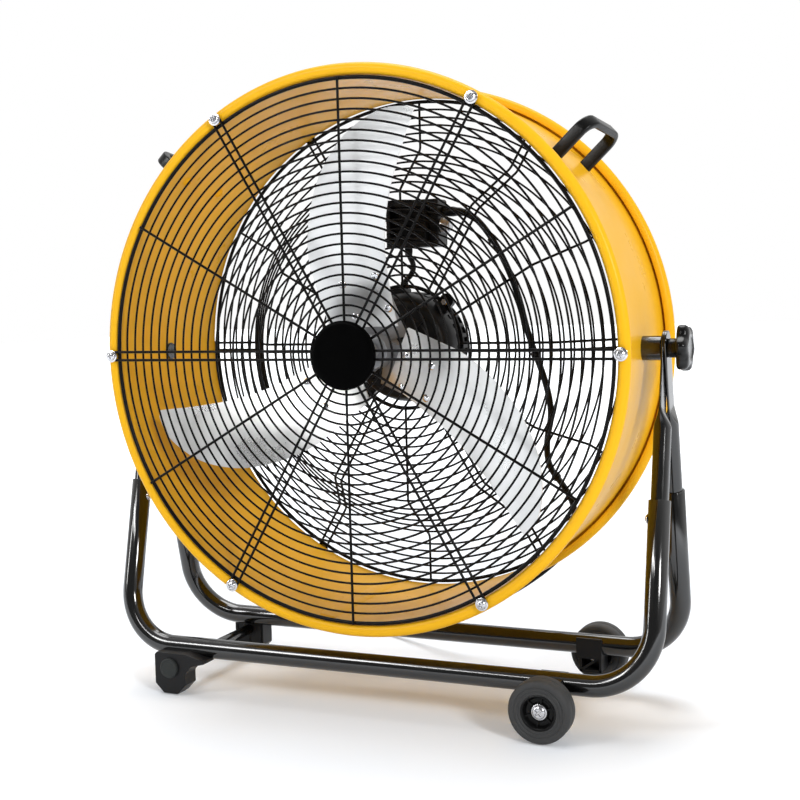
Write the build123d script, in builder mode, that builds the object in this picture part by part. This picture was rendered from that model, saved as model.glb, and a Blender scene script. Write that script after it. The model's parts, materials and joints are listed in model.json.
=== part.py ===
from build123d import *
import math
import os

# Portable drum fan, millimetres. X is to the viewer's right, Y to the back, Z up, floor at Z = 0.
# The drum faces the front (-Y) and tilts between two leaning tube frames about the X axis.

# ---- driving dimensions: stand ----
pivot_height = 428.0        # tilt axis above the floor
base_half_depth = 84.5      # each base tube in front of or behind the tilt axis
base_tube_height = 55.5     # centre line of the base tubes above the floor
stand_half_width = 343.5    # centre line of the uprights from the middle
base_tube_d = 25.0
base_tube_wall = 2.4
tube_sides = 16
base_bend_radius = 70.0
upright_clearance = 0.05    # round the upright inside the base tube
upright_wall = 1.6
socket_depth = 42.0         # upright pushed into the base tube
socket_end_drop = 172.0     # top end of the base tube below the tilt axis, along the frame
strap_width = 28.0          # flattened end of an upright
strap_thickness = 3.0
strap_length = 66.0         # flat part below the tilt axis
flare_length = 22.0         # from flat to round
frame_gap = 0.3             # between the drum's spacer, the straps and the knob
stand_screw_d = 4.0
stand_screw_head_d = 9.0
stand_screw_head = 2.6
stand_screw_length = 6.5

# ---- driving dimensions: wheels and feet ----
wheel_d = 72.0
wheel_width = 28.0
wheel_x = 229.5
wheel_outer_face = 139.0    # outer face from the tilt axis, front and rear alike
wheel_sides = 32
tyre_chamfer = 4.0
hub_d = 40.0
hub_sides = 24
hub_recess = 8.0
hub_rim = 3.0
hub_boss_d = 20.0
axle_d = 8.0
axle_clearance = 0.08
axle_head_d = 18.0
axle_head_height = 4.0
wheel_side_gap = 0.5
bracket_width = 32.0
bracket_depth = 33.0
bracket_top = 63.0
bracket_bottom = 21.0
bracket_step = 2.0          # the lower part is this much narrower on each side
bracket_pocket = 18.0
bracket_wall = 3.0
saddle_clearance = 0.05
foot_x = -263.0
foot_width = 44.0
foot_depth = 25.0
foot_outer = 112.0          # outer face of a foot from the tilt axis
foot_top = 53.0
foot_corner = 12.0
foot_gusset = 28.0
foot_gusset_drop = 15.0
foot_bar_d = 14.0
foot_bar_height = 34.0
foot_cap_d = 25.0
foot_cap_thickness = 4.0
foot_pad_thickness = 4.0
foot_lift = 1.0             # moulding above the floor, standing on its rubber sole
foot_pad_width = 18.0
foot_pad_depth = 17.0

# ---- driving dimensions: drum ----
drum_inner_r = 317.0
drum_wall = 1.2
drum_depth = 237.4
bead_r = 7.2                # rolled rim, half its thickness
bead_sheet = 1.2
bead_folds = 5              # flats of the roll, from the wall round and back down to it
bead_turn = 60.0
handle_angle = 44.0         # above the horizontal, each side
handle_y = 6.0
handle_span = 96.0          # over the two legs
handle_rise = 56.0
handle_width = 16.0
handle_thickness = 8.0
handle_corner = 20.0
handle_skew = 7.0           # degrees off the drum's axis
handle_bolt_d = 5.0
handle_bolt_reach = 14.0
handle_bolt_head_d = 12.0
handle_bolt_head = 3.0

# ---- driving dimensions: tilt joint ----
pivot_spacer_d = 28.0
pivot_spacer_length = 22.5
pivot_bolt_d = 10.0
pivot_clearance = 0.05
turned_sides = 16           # flats of small turned pieces that stay inside a round hole
pivot_head_d = 22.0
pivot_head_height = 3.0
knob_d = 56.0
knob_lobes = 6
knob_valley = 5.0           # depth of the hollows between the lobes
knob_thickness = 14.0
knob_crown = 4.0
knob_neck_d = 22.0
knob_neck_length = 11.0
knob_bore_depth = 18.0

# ---- driving dimensions: guards ----
ring_wire = 3.0
spoke_wire = 3.6
rim_wire = 5.0
guard_rim_r = 314.0
guard_first_r = 46.0
guard_ring_count = 23
spoke_pair_gap = 10.0       # between the centre lines of a double spoke
guard_screw_r = 322.5
double_spokes = 6
ring_flat_depth = 4.6       # a flat of a ring's outline lies this deep inside its corners
hub_disc_r = 40.0
hub_disc_thickness = 8.0
hub_disc_sides = 36
hub_disc_edge = 2.5
dish_outer_r = 255.0        # rear guard: flat out here, then a cone running in
dish_inner_r = 199.0
dish_depth = 70.0
dish_rim_rings = 6
dish_cone_rings = 5
dish_floor_rings = 10
dish_first_r = 92.0
cone_sides = 24
spoke_root_r = 76.0
screw_d = 4.0
screw_head_d = 11.0
screw_head_height = 3.0
screw_length = 7.0
washer_d = 15.0
washer_thickness = 1.0
screw_sides = 8

# ---- driving dimensions: motor, hub and blades ----
motor_r = 70.0
motor_rib_depth = 3.0
motor_ribs = 16
bell_front = 30.0           # depth of the motor's front face behind the tilt axis
bell_depth = 32.0
stator_depth = 32.0
rear_bell_depth = 14.0
rear_bell_r = 56.0
bell_front_r = 60.0
bell_sides = 24
casing_wall = 3.0
motor_nose_r = 24.0
motor_nose_length = 8.0
cradle_r = 90.0
cradle_clearance = 1.5
cradle_thickness = 3.0
ear_angle = 45.0
ear_count = 4
ear_width = 18.0
ear_thickness = 6.0
ear_bolt_r = 80.0
motor_bolt_d = 5.0
motor_bolt_head_d = 9.0
motor_bolt_head = 3.5
stator_bore_r = 41.0
stator_clearance = 0.5
core_depth = 30.0
air_gap = 1.0
shaft_d = 12.7
shaft_clearance = 0.06
shaft_front = -54.0
shaft_rear = 102.0
bearing_d = 32.0
bearing_width = 10.0
terminal_left = -27.0
terminal_right = -4.0
terminal_top = 75.0         # above the drum's axis
terminal_front = 65.0
terminal_depth = 24.0
hub_barrel_r = 21.0
hub_length = 44.0
hub_nut_af = 21.0
hub_nut_height = 8.0
blade_count = 3
hub_middle_y = -28.0
blade_first_angle = 41.8    # the first blade's sheet is bent about lines in this direction
blade_axis_y = -25.0        # depth at which the bent sheet would meet the drum's axis
blade_sheet = 1.5
blade_pitch = 30.9          # at the drum's axis, flattening towards the convex edge
blade_camber_r = 500.0
blade_sheet_from = -40.0    # sideways extent of the sheet before it is cut out
blade_sheet_to = 210.0
blade_blank_reach = 300.0
arm_sheet = 3.0
arm_middle = (41.0, 52.0)   # middle of an arm's four rivets, out and sideways
arm_turn = 61.5             # an arm's own direction from the sheet's straight lines
arm_root = 56.0             # from the rivets' middle in towards the hub
arm_tip = 34.0
arm_half_width = 28.0
rivet_d = 5.0
rivet_head_d = 10.0
rivet_head = 2.0
rivet_seat = 0.04           # the flat heads clear the cambered sheets by this
rivet_pitch = 40.0
rivet_sides = 6

# Cut edges of a blade, out along the sheet's straight lines and sideways from the drum's axis.
blade_straight_edge = [(40, 4), (64, 33), (106, 77), (147, 107), (190, 130), (243, 154)]
blade_convex_edge = [
    (243, 154),
    (238, 164),
    (213, 183),
    (165, 193),
    (112, 184),
    (66, 160),
    (30, 130),
    (8, 98),
    (-18, 56),
]

# ---- driving dimensions: control box ----
box_left = -27.0
box_right = 45.0
box_bottom = 126.0          # above the drum's axis
box_top = 186.0
box_front = 64.0
box_depth = 31.0
box_wall = 2.5
box_lid = 3.0
box_corner = 4.0
cheek_width = 11.0
cheek_grooves = 5
cheek_groove = 1.2
lid_screw_inset = 6.5
lid_screw_d = 3.0
lid_screw_head_d = 6.0
box_bracket_left = -16.0
box_bracket_right = 34.0
box_bracket_sheet = 2.0
box_bracket_inset = 8.0     # shorter than the box, above and below
speed_knob_d = 19.0
speed_knob_length = 13.0
speed_knob_sides = 18
speed_knob_z = 152.5        # above the drum's axis
speed_knob_y = 75.0
speed_spindle_d = 6.0
speed_switch_size = 15.0
speed_switch_depth = 16.0
speed_gap = 0.4
gland_d = 14.0
gland_wall = 1.6            # of its sleeve, through the box
gland_length = 8.0
gland_y = 82.0
gland_z = 170.0             # above the drum's axis

# ---- driving dimensions: cord ----
cord_d = 8.0
lead_d = 7.0
cord_sides = 6
coil_sides = 6
cord_clearance = 0.05
clip_wall = 1.8
clip_width = 6.0
coil_radius = 80.0          # where the cord enters the coil
coil_step = 10.5            # between neighbouring turns of one layer
coil_layer = 8.8
coil_tail = 48.0            # straight end, clear of the turns, that enters the plug
coil_half_turns = 2         # of each layer, besides the half turn that climbs
cord_floor_gap = 0.1
plug_length = 36.0
plug_width = 28.0
pin_d = 4.8
pin_length = 19.0
pin_pitch = 19.0

# Hand-chosen points of the cord, each run meeting the next in an arc.
cord_guard_points = [
    (46, 82, 598),
    (68, 82, 598),
    (90, 67, 591),
    (110, 57.5, 574),
    (130, 56.6, 543),
    (150, 56.6, 497),
    (163, 56.6, 441),
    (183.5, 58, 388),
    (188, 70.5, 344),
    (177, 78.5, 311),
    (171.5, 102, 274),
    (184, 126.6, 247),
    (197, 126.6, 224),
    (198, 126.6, 203),
]
cord_drop_points = [
    (198, 126.6, 203),
    (198.9, 126.6, 184),
    (186, 128.6, 163),
    (164, 132, 141),
    (136, 136, 119),
    (104, 141, 98),
    (68, 151, 78),
    (28, 165, 58),
    (-16, 184, 38),
    (-62, 208, 19),
    (-106, 232, 7.5),
    (-148, 245, 4.1),
    (-190, 245, 4.1),
]
motor_lead_points = [
    (-2, 78, 554),
    (-2, 78, 544),
    (5, 78, 533),
    (2, 78, 520),
    (-9, 78, 512),
    (-9, 78, 503),
]

# ---- worked out from the above ----
frame_lean = math.atan2(base_half_depth, pivot_height - base_tube_height)
frame_reach = math.hypot(base_half_depth, pivot_height - base_tube_height)
upright_d = base_tube_d - 2 * base_tube_wall - 2 * upright_clearance
stand_screw_drop = socket_end_drop + socket_depth / 2
drum_outer_r = drum_inner_r + drum_wall
bead_centre_r = drum_inner_r + bead_r
rim_face = drum_depth / 2
bead_y = rim_face - bead_r * math.cos(math.radians(bead_turn / 2))
spacer_end = drum_outer_r + pivot_spacer_length
strap_inner = spacer_end + frame_gap
knob_start = strap_inner + 2 * strap_thickness + frame_gap
dish_floor = rim_face - dish_depth
cradle_y = dish_floor + spoke_wire
ear_y = cradle_y + cradle_thickness
stator_front = bell_front + bell_depth
stator_back = stator_front + stator_depth
motor_back = stator_back + rear_bell_depth
wheel_centre_z = wheel_d / 2
coil_floor = cord_d / 2 + cord_floor_gap
gland_bore_r = cord_d / 2 / math.cos(math.pi / cord_sides) + cord_clearance
cone_slope = dish_depth / (dish_outer_r - dish_inner_r)
head_centre = Vector(0, 0, pivot_height)


def write(part, name):
    part.label = name
    export_step(part, f"parts/{name}.step")


def facing_plane(y):
    """Across the drum's axis at depth y: local x right, local y up, normal to the front."""
    return Plane(origin=(0, y, pivot_height), x_dir=(1, 0, 0), z_dir=(0, -1, 0))


def side_plane(x, y=0.0, z=pivot_height):
    """Square to X at x: local x runs to the back, local y up, normal to the right."""
    return Plane(origin=(x, y, z), x_dir=(0, 1, 0), z_dir=(1, 0, 0))


def radial_plane(angle):
    """Half section at an angle round the drum's axis: local x is depth, local y the radius."""
    turn = math.radians(angle)
    out = Vector(math.cos(turn), 0, math.sin(turn))
    return Plane(origin=head_centre, x_dir=(0, 1, 0), z_dir=Vector(0, 1, 0).cross(out))


def frame_plane(side):
    """A leaning frame's own plane, -1 front and 1 rear: local y runs up it to the tilt axis."""
    up = Vector(0, -side * math.sin(frame_lean), math.cos(frame_lean))
    return Plane(origin=head_centre, x_dir=(1, 0, 0), z_dir=Vector(1, 0, 0).cross(up))


def strip(points, thickness):
    """Closed outline of a folded strip, its thickness to the left of an open run of points."""
    runs = []
    for start, end in zip(points, points[1:]):
        length = math.dist(start, end)
        runs.append((-(end[1] - start[1]) / length, (end[0] - start[0]) / length))
    normals = [runs[0], *runs, runs[-1]]
    shifted = []
    for point, before, after in zip(points, normals, normals[1:]):
        share = thickness / (1 + before[0] * after[0] + before[1] * after[1])
        x = point[0] + share * (before[0] + after[0])
        y = point[1] + share * (before[1] + after[1])
        shifted.append((x, y))
    return [*points, *reversed(shifted)]


def corner_radius(mean_r, sides):
    """Corner radius of a regular outline that lies as far outside as inside a circle."""
    return 2 * mean_r / (1 + math.cos(math.pi / sides))


def sides_for(radius):
    """Even number of flats that keeps a ring's outline near its circle."""
    sides = math.ceil(math.pi / math.acos(1 - ring_flat_depth / radius))
    return sides + sides % 2


def cord_radii(points, name):
    """Largest arc that the two runs at each point allow, printed with the path's least."""
    radii = []
    for before, corner, after in zip(points, points[1:], points[2:]):
        arriving = Vector(*corner) - Vector(*before)
        leaving = Vector(*after) - Vector(*corner)
        half_turn = math.radians(arriving.get_angle(leaving)) / 2
        radii.append(0.45 * min(arriving.length, leaving.length) / math.tan(half_turn))
    print(f"{name} bend radii:", [round(radius, 1) for radius in radii])
    return radii


def make_cord(points, diameter, sides, name):
    """Tube along straight runs joined by tangent arcs."""
    with BuildPart() as cord:
        with BuildLine() as path:
            FilletPolyline(*points, radius=cord_radii(points, name))
        route = path.wire()
        with BuildSketch(route ^ 0) as section:
            RegularPolygon(corner_radius(diameter / 2, sides), sides)
        sweep(path=route)
    swept = section.sketch.area * route.length
    print(f"{name} length {route.length:.0f} mm, volume ratio {cord.part.volume / swept:.3f}")
    return cord.part


# ---- stand ----
def make_base_tube(side):
    """U-bent tube lying across the stand, its two ends turned up as sockets."""
    with BuildPart() as tube:
        with BuildLine(frame_plane(side)) as path:
            FilletPolyline(
                (-stand_half_width, -socket_end_drop),
                (-stand_half_width, -frame_reach),
                (stand_half_width, -frame_reach),
                (stand_half_width, -socket_end_drop),
                radius=base_bend_radius,
            )
        with BuildSketch(path.line ^ 0):
            RegularPolygon(base_tube_d / 2, tube_sides)
            bore = base_tube_d / 2 - base_tube_wall
            RegularPolygon(bore, tube_sides, major_radius=False, mode=Mode.SUBTRACT)
        sweep(path=path.line)
        for hand in (-1, 1):
            with BuildSketch(stand_screw_plane(side, hand)):
                Circle(stand_screw_d / 2)
            extrude(amount=base_tube_d / 2, mode=Mode.SUBTRACT)
    return tube.part


def stand_screw_plane(side, hand):
    """On an upright's centre line where its screw sits, normal towards the stand's middle."""
    plane = frame_plane(side)
    origin = head_centre - plane.y_dir * stand_screw_drop + Vector(hand * stand_half_width, 0, 0)
    return Plane(origin=origin, x_dir=(0, 1, 0), z_dir=(-hand, 0, 0))


def flat_oval(half_width, half_thickness):
    """Outline of a squeezed tube, one corner to each flat of the round one."""
    points = []
    for corner in range(tube_sides):
        turn = 2 * math.pi * corner / tube_sides
        points.append((half_width * math.cos(turn), half_thickness * math.sin(turn)))
    return points


def make_upright(side, hand):
    """Tube flattened at its top into a strap; the rear frame's straps lie outside the front's."""
    inner = strap_inner if side < 0 else strap_inner + strap_thickness
    frame = frame_plane(side)
    strap_face = Plane(
        origin=(hand * inner, 0, pivot_height), x_dir=frame.z_dir * -1, z_dir=(1, 0, 0)
    )
    flare_top = Plane(
        origin=head_centre - frame.y_dir * strap_length, x_dir=frame.z_dir, z_dir=frame.y_dir * -1
    )
    half = strap_width / 2
    round_length = socket_end_drop + socket_depth - strap_length - flare_length
    middle = -hand * (inner + strap_thickness / 2)
    tube_middle = -hand * stand_half_width
    with BuildPart() as upright:
        with BuildSketch(strap_face):
            with BuildLine():
                Polyline((-half, 0), (-half, -strap_length), (half, -strap_length), (half, 0))
                ThreePointArc((half, 0), (0, half), (-half, 0))
            make_face()
            Circle(pivot_bolt_d / 2 + pivot_clearance, mode=Mode.SUBTRACT)
        extrude(amount=hand * strap_thickness)
        with BuildSketch(flare_top):
            with Locations((0, middle)):
                Polygon(*flat_oval(half, strap_thickness / 2), align=None)
        with BuildSketch(flare_top.offset(flare_length)):
            with Locations((0, tube_middle)):
                RegularPolygon(upright_d / 2, tube_sides, major_radius=False)
        loft(ruled=True)
        with BuildSketch(flare_top.offset(flare_length)):
            with Locations((0, tube_middle)):
                RegularPolygon(upright_d / 2, tube_sides, major_radius=False)
        extrude(amount=round_length)
        with BuildSketch(flare_top.offset(flare_length)):
            with Locations((0, tube_middle)):
                RegularPolygon(upright_d / 2 - upright_wall, tube_sides)
        extrude(amount=round_length, mode=Mode.SUBTRACT)
        with BuildSketch(stand_screw_plane(side, hand)):
            Circle(stand_screw_d / 2)
        extrude(amount=upright_d / 2, mode=Mode.SUBTRACT)
    return upright.part


def make_stand_screws():
    """One screw through each socket into its upright, its head on the stand's inner side."""
    with BuildPart() as screws:
        for side in (-1, 1):
            for hand in (-1, 1):
                seat = stand_screw_plane(side, hand).offset(base_tube_d / 2)
                with BuildSketch(seat):
                    RegularPolygon(stand_screw_head_d / 2, screw_sides)
                extrude(amount=stand_screw_head)
                with BuildSketch(seat):
                    RegularPolygon(stand_screw_d / 2, screw_sides)
                extrude(amount=-stand_screw_length)
    return screws.part


def tube_cutter(side, clearance):
    """Straight stretch of a base tube with a clearance round it, to seat what rides on it."""
    with BuildPart() as cutter:
        with BuildSketch(side_plane(-stand_half_width, side * base_half_depth, base_tube_height)):
            Circle(base_tube_d / 2 + clearance)
        extrude(amount=2 * stand_half_width)
    return cutter.part


# ---- wheels ----
def wheel_plane(side):
    """On a wheel's outer face at its centre, normal towards the stand."""
    origin = (wheel_x, side * wheel_outer_face, wheel_centre_z)
    return Plane(origin=origin, x_dir=(0, 0, 1), z_dir=(0, -side, 0))


def make_tyre(side):
    with BuildPart() as tyre:
        with BuildSketch(wheel_plane(side)):
            RegularPolygon(wheel_d / 2, wheel_sides)
        extrude(amount=wheel_width)
        rims = tyre.part.faces().sort_by(Axis.Y)
        chamfer(rims[0].edges() + rims[-1].edges(), length=tyre_chamfer)
        with BuildSketch(wheel_plane(side)):
            RegularPolygon(hub_d / 2, hub_sides)
        extrude(amount=wheel_width, mode=Mode.SUBTRACT)
    return tyre.part


def make_wheel_hub(side):
    """Moulded hub pressed into the tyre, dished outside round a short boss."""
    face = wheel_plane(side)
    web = wheel_width - 2 * hub_recess
    with BuildPart() as hub:
        with BuildSketch(face):
            RegularPolygon(hub_d / 2, hub_sides)
            RegularPolygon(hub_d / 2 - hub_rim, hub_sides, mode=Mode.SUBTRACT)
        extrude(amount=wheel_width)
        with BuildSketch(face.offset(hub_recess)):
            RegularPolygon(hub_d / 2 - hub_rim, hub_sides)
        extrude(amount=web)
        with BuildSketch(face.offset(hub_recess + web)):
            RegularPolygon(hub_boss_d / 2, hub_sides)
        extrude(amount=hub_recess)
        with BuildSketch(face):
            Circle(axle_d / 2 + axle_clearance)
        extrude(amount=wheel_width, mode=Mode.SUBTRACT)
    return hub.part


def make_axle_screws():
    """Shoulder screws that carry the wheels, their heads in the hubs' recesses."""
    reach = wheel_width + wheel_side_gap + bracket_depth - bracket_pocket
    with BuildPart() as axles:
        for side in (-1, 1):
            seat = wheel_plane(side).offset(hub_recess - wheel_side_gap)
            with BuildSketch(seat):
                Circle(axle_d / 2)
            extrude(amount=reach - hub_recess + wheel_side_gap)
            with BuildSketch(seat):
                RegularPolygon(axle_head_d / 2, hub_sides)
            extrude(amount=-axle_head_height)
    return axles.part


def make_wheel_bracket(side):
    """Saddle snapped up round the base tube, with the axle's box and its diagonal rib below."""
    outer = side * (wheel_outer_face - wheel_width - wheel_side_gap)
    face = Plane(origin=(wheel_x, outer, 0), x_dir=(1, 0, 0), z_dir=(0, -side, 0))
    up = face.y_dir.Z
    step_height = base_tube_height - base_tube_d / 2 - bracket_wall
    inside = bracket_width - 2 * bracket_step - 2 * bracket_wall
    pocket_height = step_height - bracket_bottom - bracket_wall
    pocket_middle = bracket_bottom + bracket_wall + pocket_height / 2
    rib_angle = math.degrees(math.atan2(pocket_height, inside))
    with BuildPart() as bracket:
        with BuildSketch(face):
            with Locations((0, up * (bracket_top + step_height) / 2)):
                Rectangle(bracket_width, bracket_top - step_height)
        extrude(amount=bracket_depth)
        with BuildSketch(face):
            with Locations((0, up * (bracket_bottom + step_height) / 2)):
                Rectangle(bracket_width - 2 * bracket_step, step_height - bracket_bottom)
        extrude(amount=bracket_depth)
        with BuildSketch(face.offset(bracket_depth - bracket_pocket)):
            with Locations((0, up * pocket_middle)):
                Rectangle(inside, pocket_height)
                rib_length = math.hypot(inside, pocket_height) + bracket_wall
                Rectangle(rib_length, bracket_wall, rotation=up * rib_angle, mode=Mode.SUBTRACT)
        extrude(amount=bracket_pocket, mode=Mode.SUBTRACT)
        with BuildSketch(face):
            with Locations((0, up * wheel_centre_z)):
                Circle(axle_d / 2)
        extrude(amount=bracket_depth - bracket_pocket, mode=Mode.SUBTRACT)
        add(tube_cutter(side, saddle_clearance), mode=Mode.SUBTRACT)
    return bracket.part


def make_wheel_brackets():
    with BuildPart() as brackets:
        for side in (-1, 1):
            add(make_wheel_bracket(side))
    return brackets.part


# ---- feet ----
def make_foot(side):
    """Moulded foot hung under a base tube; the front one has a gusset running in under it."""
    outer = side * foot_outer
    left = foot_x - foot_width / 2
    right = foot_x + foot_width / 2
    tube_under = base_tube_height - base_tube_d / 2
    with BuildPart() as foot:
        with BuildSketch(Plane(origin=(0, outer, 0), x_dir=(1, 0, 0), z_dir=(0, -1, 0))):
            with BuildLine():
                Polyline(
                    (left, foot_corner),
                    (left + foot_corner, foot_lift),
                    (right - foot_corner, foot_lift),
                    (right, foot_corner),
                    (right, tube_under - foot_gusset_drop),
                    (right + (foot_gusset if side < 0 else 0), tube_under),
                    (right + (foot_gusset if side < 0 else 0), foot_top),
                    (left, foot_top),
                    close=True,
                )
            make_face()
        extrude(amount=side * foot_depth)
        add(tube_cutter(side, saddle_clearance), mode=Mode.SUBTRACT)
        with BuildSketch(Plane(origin=(foot_x, 0, foot_bar_height), z_dir=(0, side, 0))):
            Circle(foot_bar_d / 2)
        extrude(amount=foot_outer, mode=Mode.SUBTRACT)
        with BuildSketch(Plane((foot_x, side * (foot_outer - foot_depth / 2), 0))):
            Rectangle(foot_pad_width, foot_pad_depth)
        extrude(amount=foot_pad_thickness, mode=Mode.SUBTRACT)
    return foot.part


def make_foot_pads():
    """Rubber soles let into the feet's undersides."""
    with BuildPart() as pads:
        for side in (-1, 1):
            with BuildSketch(Plane((foot_x, side * (foot_outer - foot_depth / 2), 0))):
                Rectangle(foot_pad_width, foot_pad_depth)
            extrude(amount=foot_pad_thickness)
    return pads.part


def make_foot_bar():
    """Round bar that ties the two feet and keeps the base tubes apart."""
    with BuildPart() as bar:
        with BuildSketch(Plane(origin=(foot_x, 0, foot_bar_height), z_dir=(0, 1, 0))):
            Circle(foot_bar_d / 2)
        extrude(amount=foot_outer, both=True)
    return bar.part


def make_foot_caps():
    with BuildPart() as caps:
        for side in (-1, 1):
            outer = side * foot_outer
            with BuildSketch(Plane(origin=(foot_x, outer, foot_bar_height), z_dir=(0, side, 0))):
                Circle(foot_cap_d / 2)
            extrude(amount=foot_cap_thickness)
    return caps.part


# ---- drum ----
def bead_outline():
    """Rolled sheet rim in flats: from the wall outwards, over the top and back down to it."""
    points = []
    for fold in range(bead_folds + 1):
        turn = math.radians(-90 + fold * bead_turn)
        along = bead_y + bead_r * math.cos(turn)
        radius = bead_centre_r + bead_r * math.sin(turn)
        points.append((along, radius))
    return points


def make_drum_shell():
    """Rolled sheet drum with an open curl at each rim and holes for what is bolted to it."""
    with BuildPart() as shell:
        with BuildSketch(radial_plane(90)):
            with BuildLine():
                half = [(0, drum_inner_r), *bead_outline()]
                Polyline(*strip(half, bead_sheet), close=True)
            make_face()
            mirror(about=Plane.YZ)
        revolve(axis=Axis((0, 0, pivot_height), (0, 1, 0)))
        with BuildSketch(side_plane(-drum_outer_r - 1)):
            Circle(pivot_bolt_d / 2 + pivot_clearance)
        extrude(amount=2 * drum_outer_r + 2, mode=Mode.SUBTRACT)
        for side in (-1, 1):
            with BuildSketch(facing_plane(side * rim_face)):
                with PolarLocations(guard_screw_r, double_spokes):
                    Circle(screw_d / 2)
            extrude(amount=side * screw_length, mode=Mode.SUBTRACT)
        for hand in (-1, 1):
            for end in (-1, 1):
                with BuildSketch(handle_bolt_plane(hand, end)):
                    Circle(handle_bolt_d / 2)
                extrude(amount=2 * handle_bolt_reach, both=True, mode=Mode.SUBTRACT)
    return shell.part


def handle_plane(hand):
    """A carrying handle's own plane: local x along it, local y out from the drum's axis."""
    turn = math.radians(handle_angle)
    out = Vector(hand * math.cos(turn), 0, math.sin(turn))
    along = Vector(0, 1, 0).rotate(Axis((0, 0, 0), tuple(out)), hand * handle_skew)
    origin = head_centre + Vector(0, handle_y, 0)
    return Plane(origin=origin, x_dir=along, z_dir=along.cross(out))


def handle_bolt_plane(hand, end):
    """On the drum's outer wall at a handle's leg, normal out from the drum's axis."""
    plane = handle_plane(hand)
    leg = end * (handle_span - handle_thickness) / 2
    origin = plane.origin + plane.x_dir * leg + plane.y_dir * drum_outer_r
    return Plane(origin=origin, x_dir=plane.x_dir, z_dir=plane.y_dir)


def make_handle(hand):
    """Moulded strap bail standing on the drum, each leg bored for its bolt."""
    half = handle_span / 2
    foot = drum_inner_r
    top = drum_outer_r + handle_rise
    inner_half = half - handle_thickness
    with BuildPart() as handle:
        with BuildSketch(handle_plane(hand)):
            with BuildLine():
                FilletPolyline(
                    (-half, foot), (-half, top), (half, top), (half, foot), radius=handle_corner
                )
                Line((half, foot), (inner_half, foot))
                FilletPolyline(
                    (inner_half, foot),
                    (inner_half, top - handle_thickness),
                    (-inner_half, top - handle_thickness),
                    (-inner_half, foot),
                    radius=handle_corner - handle_thickness,
                )
                Line((-inner_half, foot), (-half, foot))
            make_face()
        extrude(amount=handle_width / 2, both=True)
        with BuildSketch(facing_plane(rim_face)):
            Circle(drum_outer_r)
        extrude(amount=drum_depth, mode=Mode.SUBTRACT)
        for end in (-1, 1):
            with BuildSketch(handle_bolt_plane(hand, end)):
                Circle(handle_bolt_d / 2)
            extrude(amount=handle_bolt_reach, both=True, mode=Mode.SUBTRACT)
    return handle.part


def make_handle_bolts():
    """Bolts from inside the drum into the handles' legs."""
    skewed = (handle_span - handle_thickness) / 2 * math.sin(math.radians(handle_skew))
    reach = skewed + handle_bolt_head_d / 2
    sag = drum_inner_r - math.sqrt(drum_inner_r**2 - reach**2)
    with BuildPart() as bolts:
        for hand in (-1, 1):
            for end in (-1, 1):
                seat = handle_bolt_plane(hand, end).offset(-drum_wall - sag)
                with BuildSketch(seat):
                    RegularPolygon(handle_bolt_d / 2, screw_sides)
                extrude(amount=drum_wall + sag + handle_bolt_reach)
                with BuildSketch(seat):
                    RegularPolygon(handle_bolt_head_d / 2, screw_sides)
                extrude(amount=-handle_bolt_head)
    return bolts.part


# ---- tilt joint ----
def make_pivot_spacers():
    """Turned spacers between the drum's wall and the frames, hollowed to sit on the wall."""
    with BuildPart() as spacers:
        for hand in (-1, 1):
            with BuildSketch(side_plane(hand * spacer_end)):
                Circle(pivot_spacer_d / 2)
                Circle(pivot_bolt_d / 2 + pivot_clearance, mode=Mode.SUBTRACT)
            extrude(amount=-hand * 2 * pivot_spacer_length)
        with BuildSketch(facing_plane(rim_face)):
            Circle(drum_outer_r)
        extrude(amount=drum_depth, mode=Mode.SUBTRACT)
    return spacers.part


def make_pivot_bolts():
    """Bolts on the tilt axis, from inside the drum out into the clamping knobs."""
    seat = math.sqrt(drum_inner_r**2 - (pivot_head_d / 2) ** 2)
    end = knob_start + knob_bore_depth - frame_gap
    with BuildPart() as bolts:
        for hand in (-1, 1):
            with BuildSketch(side_plane(hand * seat)):
                RegularPolygon(pivot_bolt_d / 2, turned_sides)
            extrude(amount=hand * (end - seat))
            with BuildSketch(side_plane(hand * seat)):
                RegularPolygon(pivot_head_d / 2, turned_sides)
            extrude(amount=-hand * pivot_head_height)
    return bolts.part


def knob_outline():
    """Six rounded lobes, four corners to a lobe."""
    corners = 4 * knob_lobes
    points = []
    for corner in range(corners):
        turn = 2 * math.pi * (corner + 0.5) / corners
        lobe = (1 + math.cos(knob_lobes * turn)) / 2
        radius = knob_d / 2 - knob_valley * (1 - lobe)
        points.append((radius * math.cos(turn), radius * math.sin(turn)))
    return points


def make_knob(hand):
    """Lobed clamping knob with a neck, bored blind for the pivot bolt."""
    face = Plane(origin=(hand * knob_start, 0, pivot_height), x_dir=(0, 1, 0), z_dir=(hand, 0, 0))
    with BuildPart() as knob:
        with BuildSketch(face):
            RegularPolygon(knob_neck_d / 2, turned_sides)
        extrude(amount=knob_neck_length)
        with BuildSketch(face.offset(knob_neck_length)):
            Polygon(*knob_outline(), align=None)
        extrude(amount=knob_thickness - knob_crown)
        with BuildSketch(face.offset(knob_neck_length + knob_thickness - knob_crown)):
            Polygon(*knob_outline(), align=None)
        extrude(amount=knob_crown, taper=45)
        with BuildSketch(face):
            bore = pivot_bolt_d / 2 + pivot_clearance
            RegularPolygon(bore, turned_sides, major_radius=False)
        extrude(amount=knob_bore_depth, mode=Mode.SUBTRACT)
    return knob.part


# ---- guards ----
def ring_layer(plane, rings):
    """Flat rings lying on a plane: each is (radius, wire width, number of flats)."""
    with BuildPart() as layer:
        with BuildSketch(plane):
            for radius, wire, sides in sorted(rings, reverse=True):
                outer = corner_radius(radius, sides) + wire / 2
                RegularPolygon(outer, sides)
                RegularPolygon(outer - wire, sides, mode=Mode.SUBTRACT)
        extrude(amount=ring_wire)
    return layer.part


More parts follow.
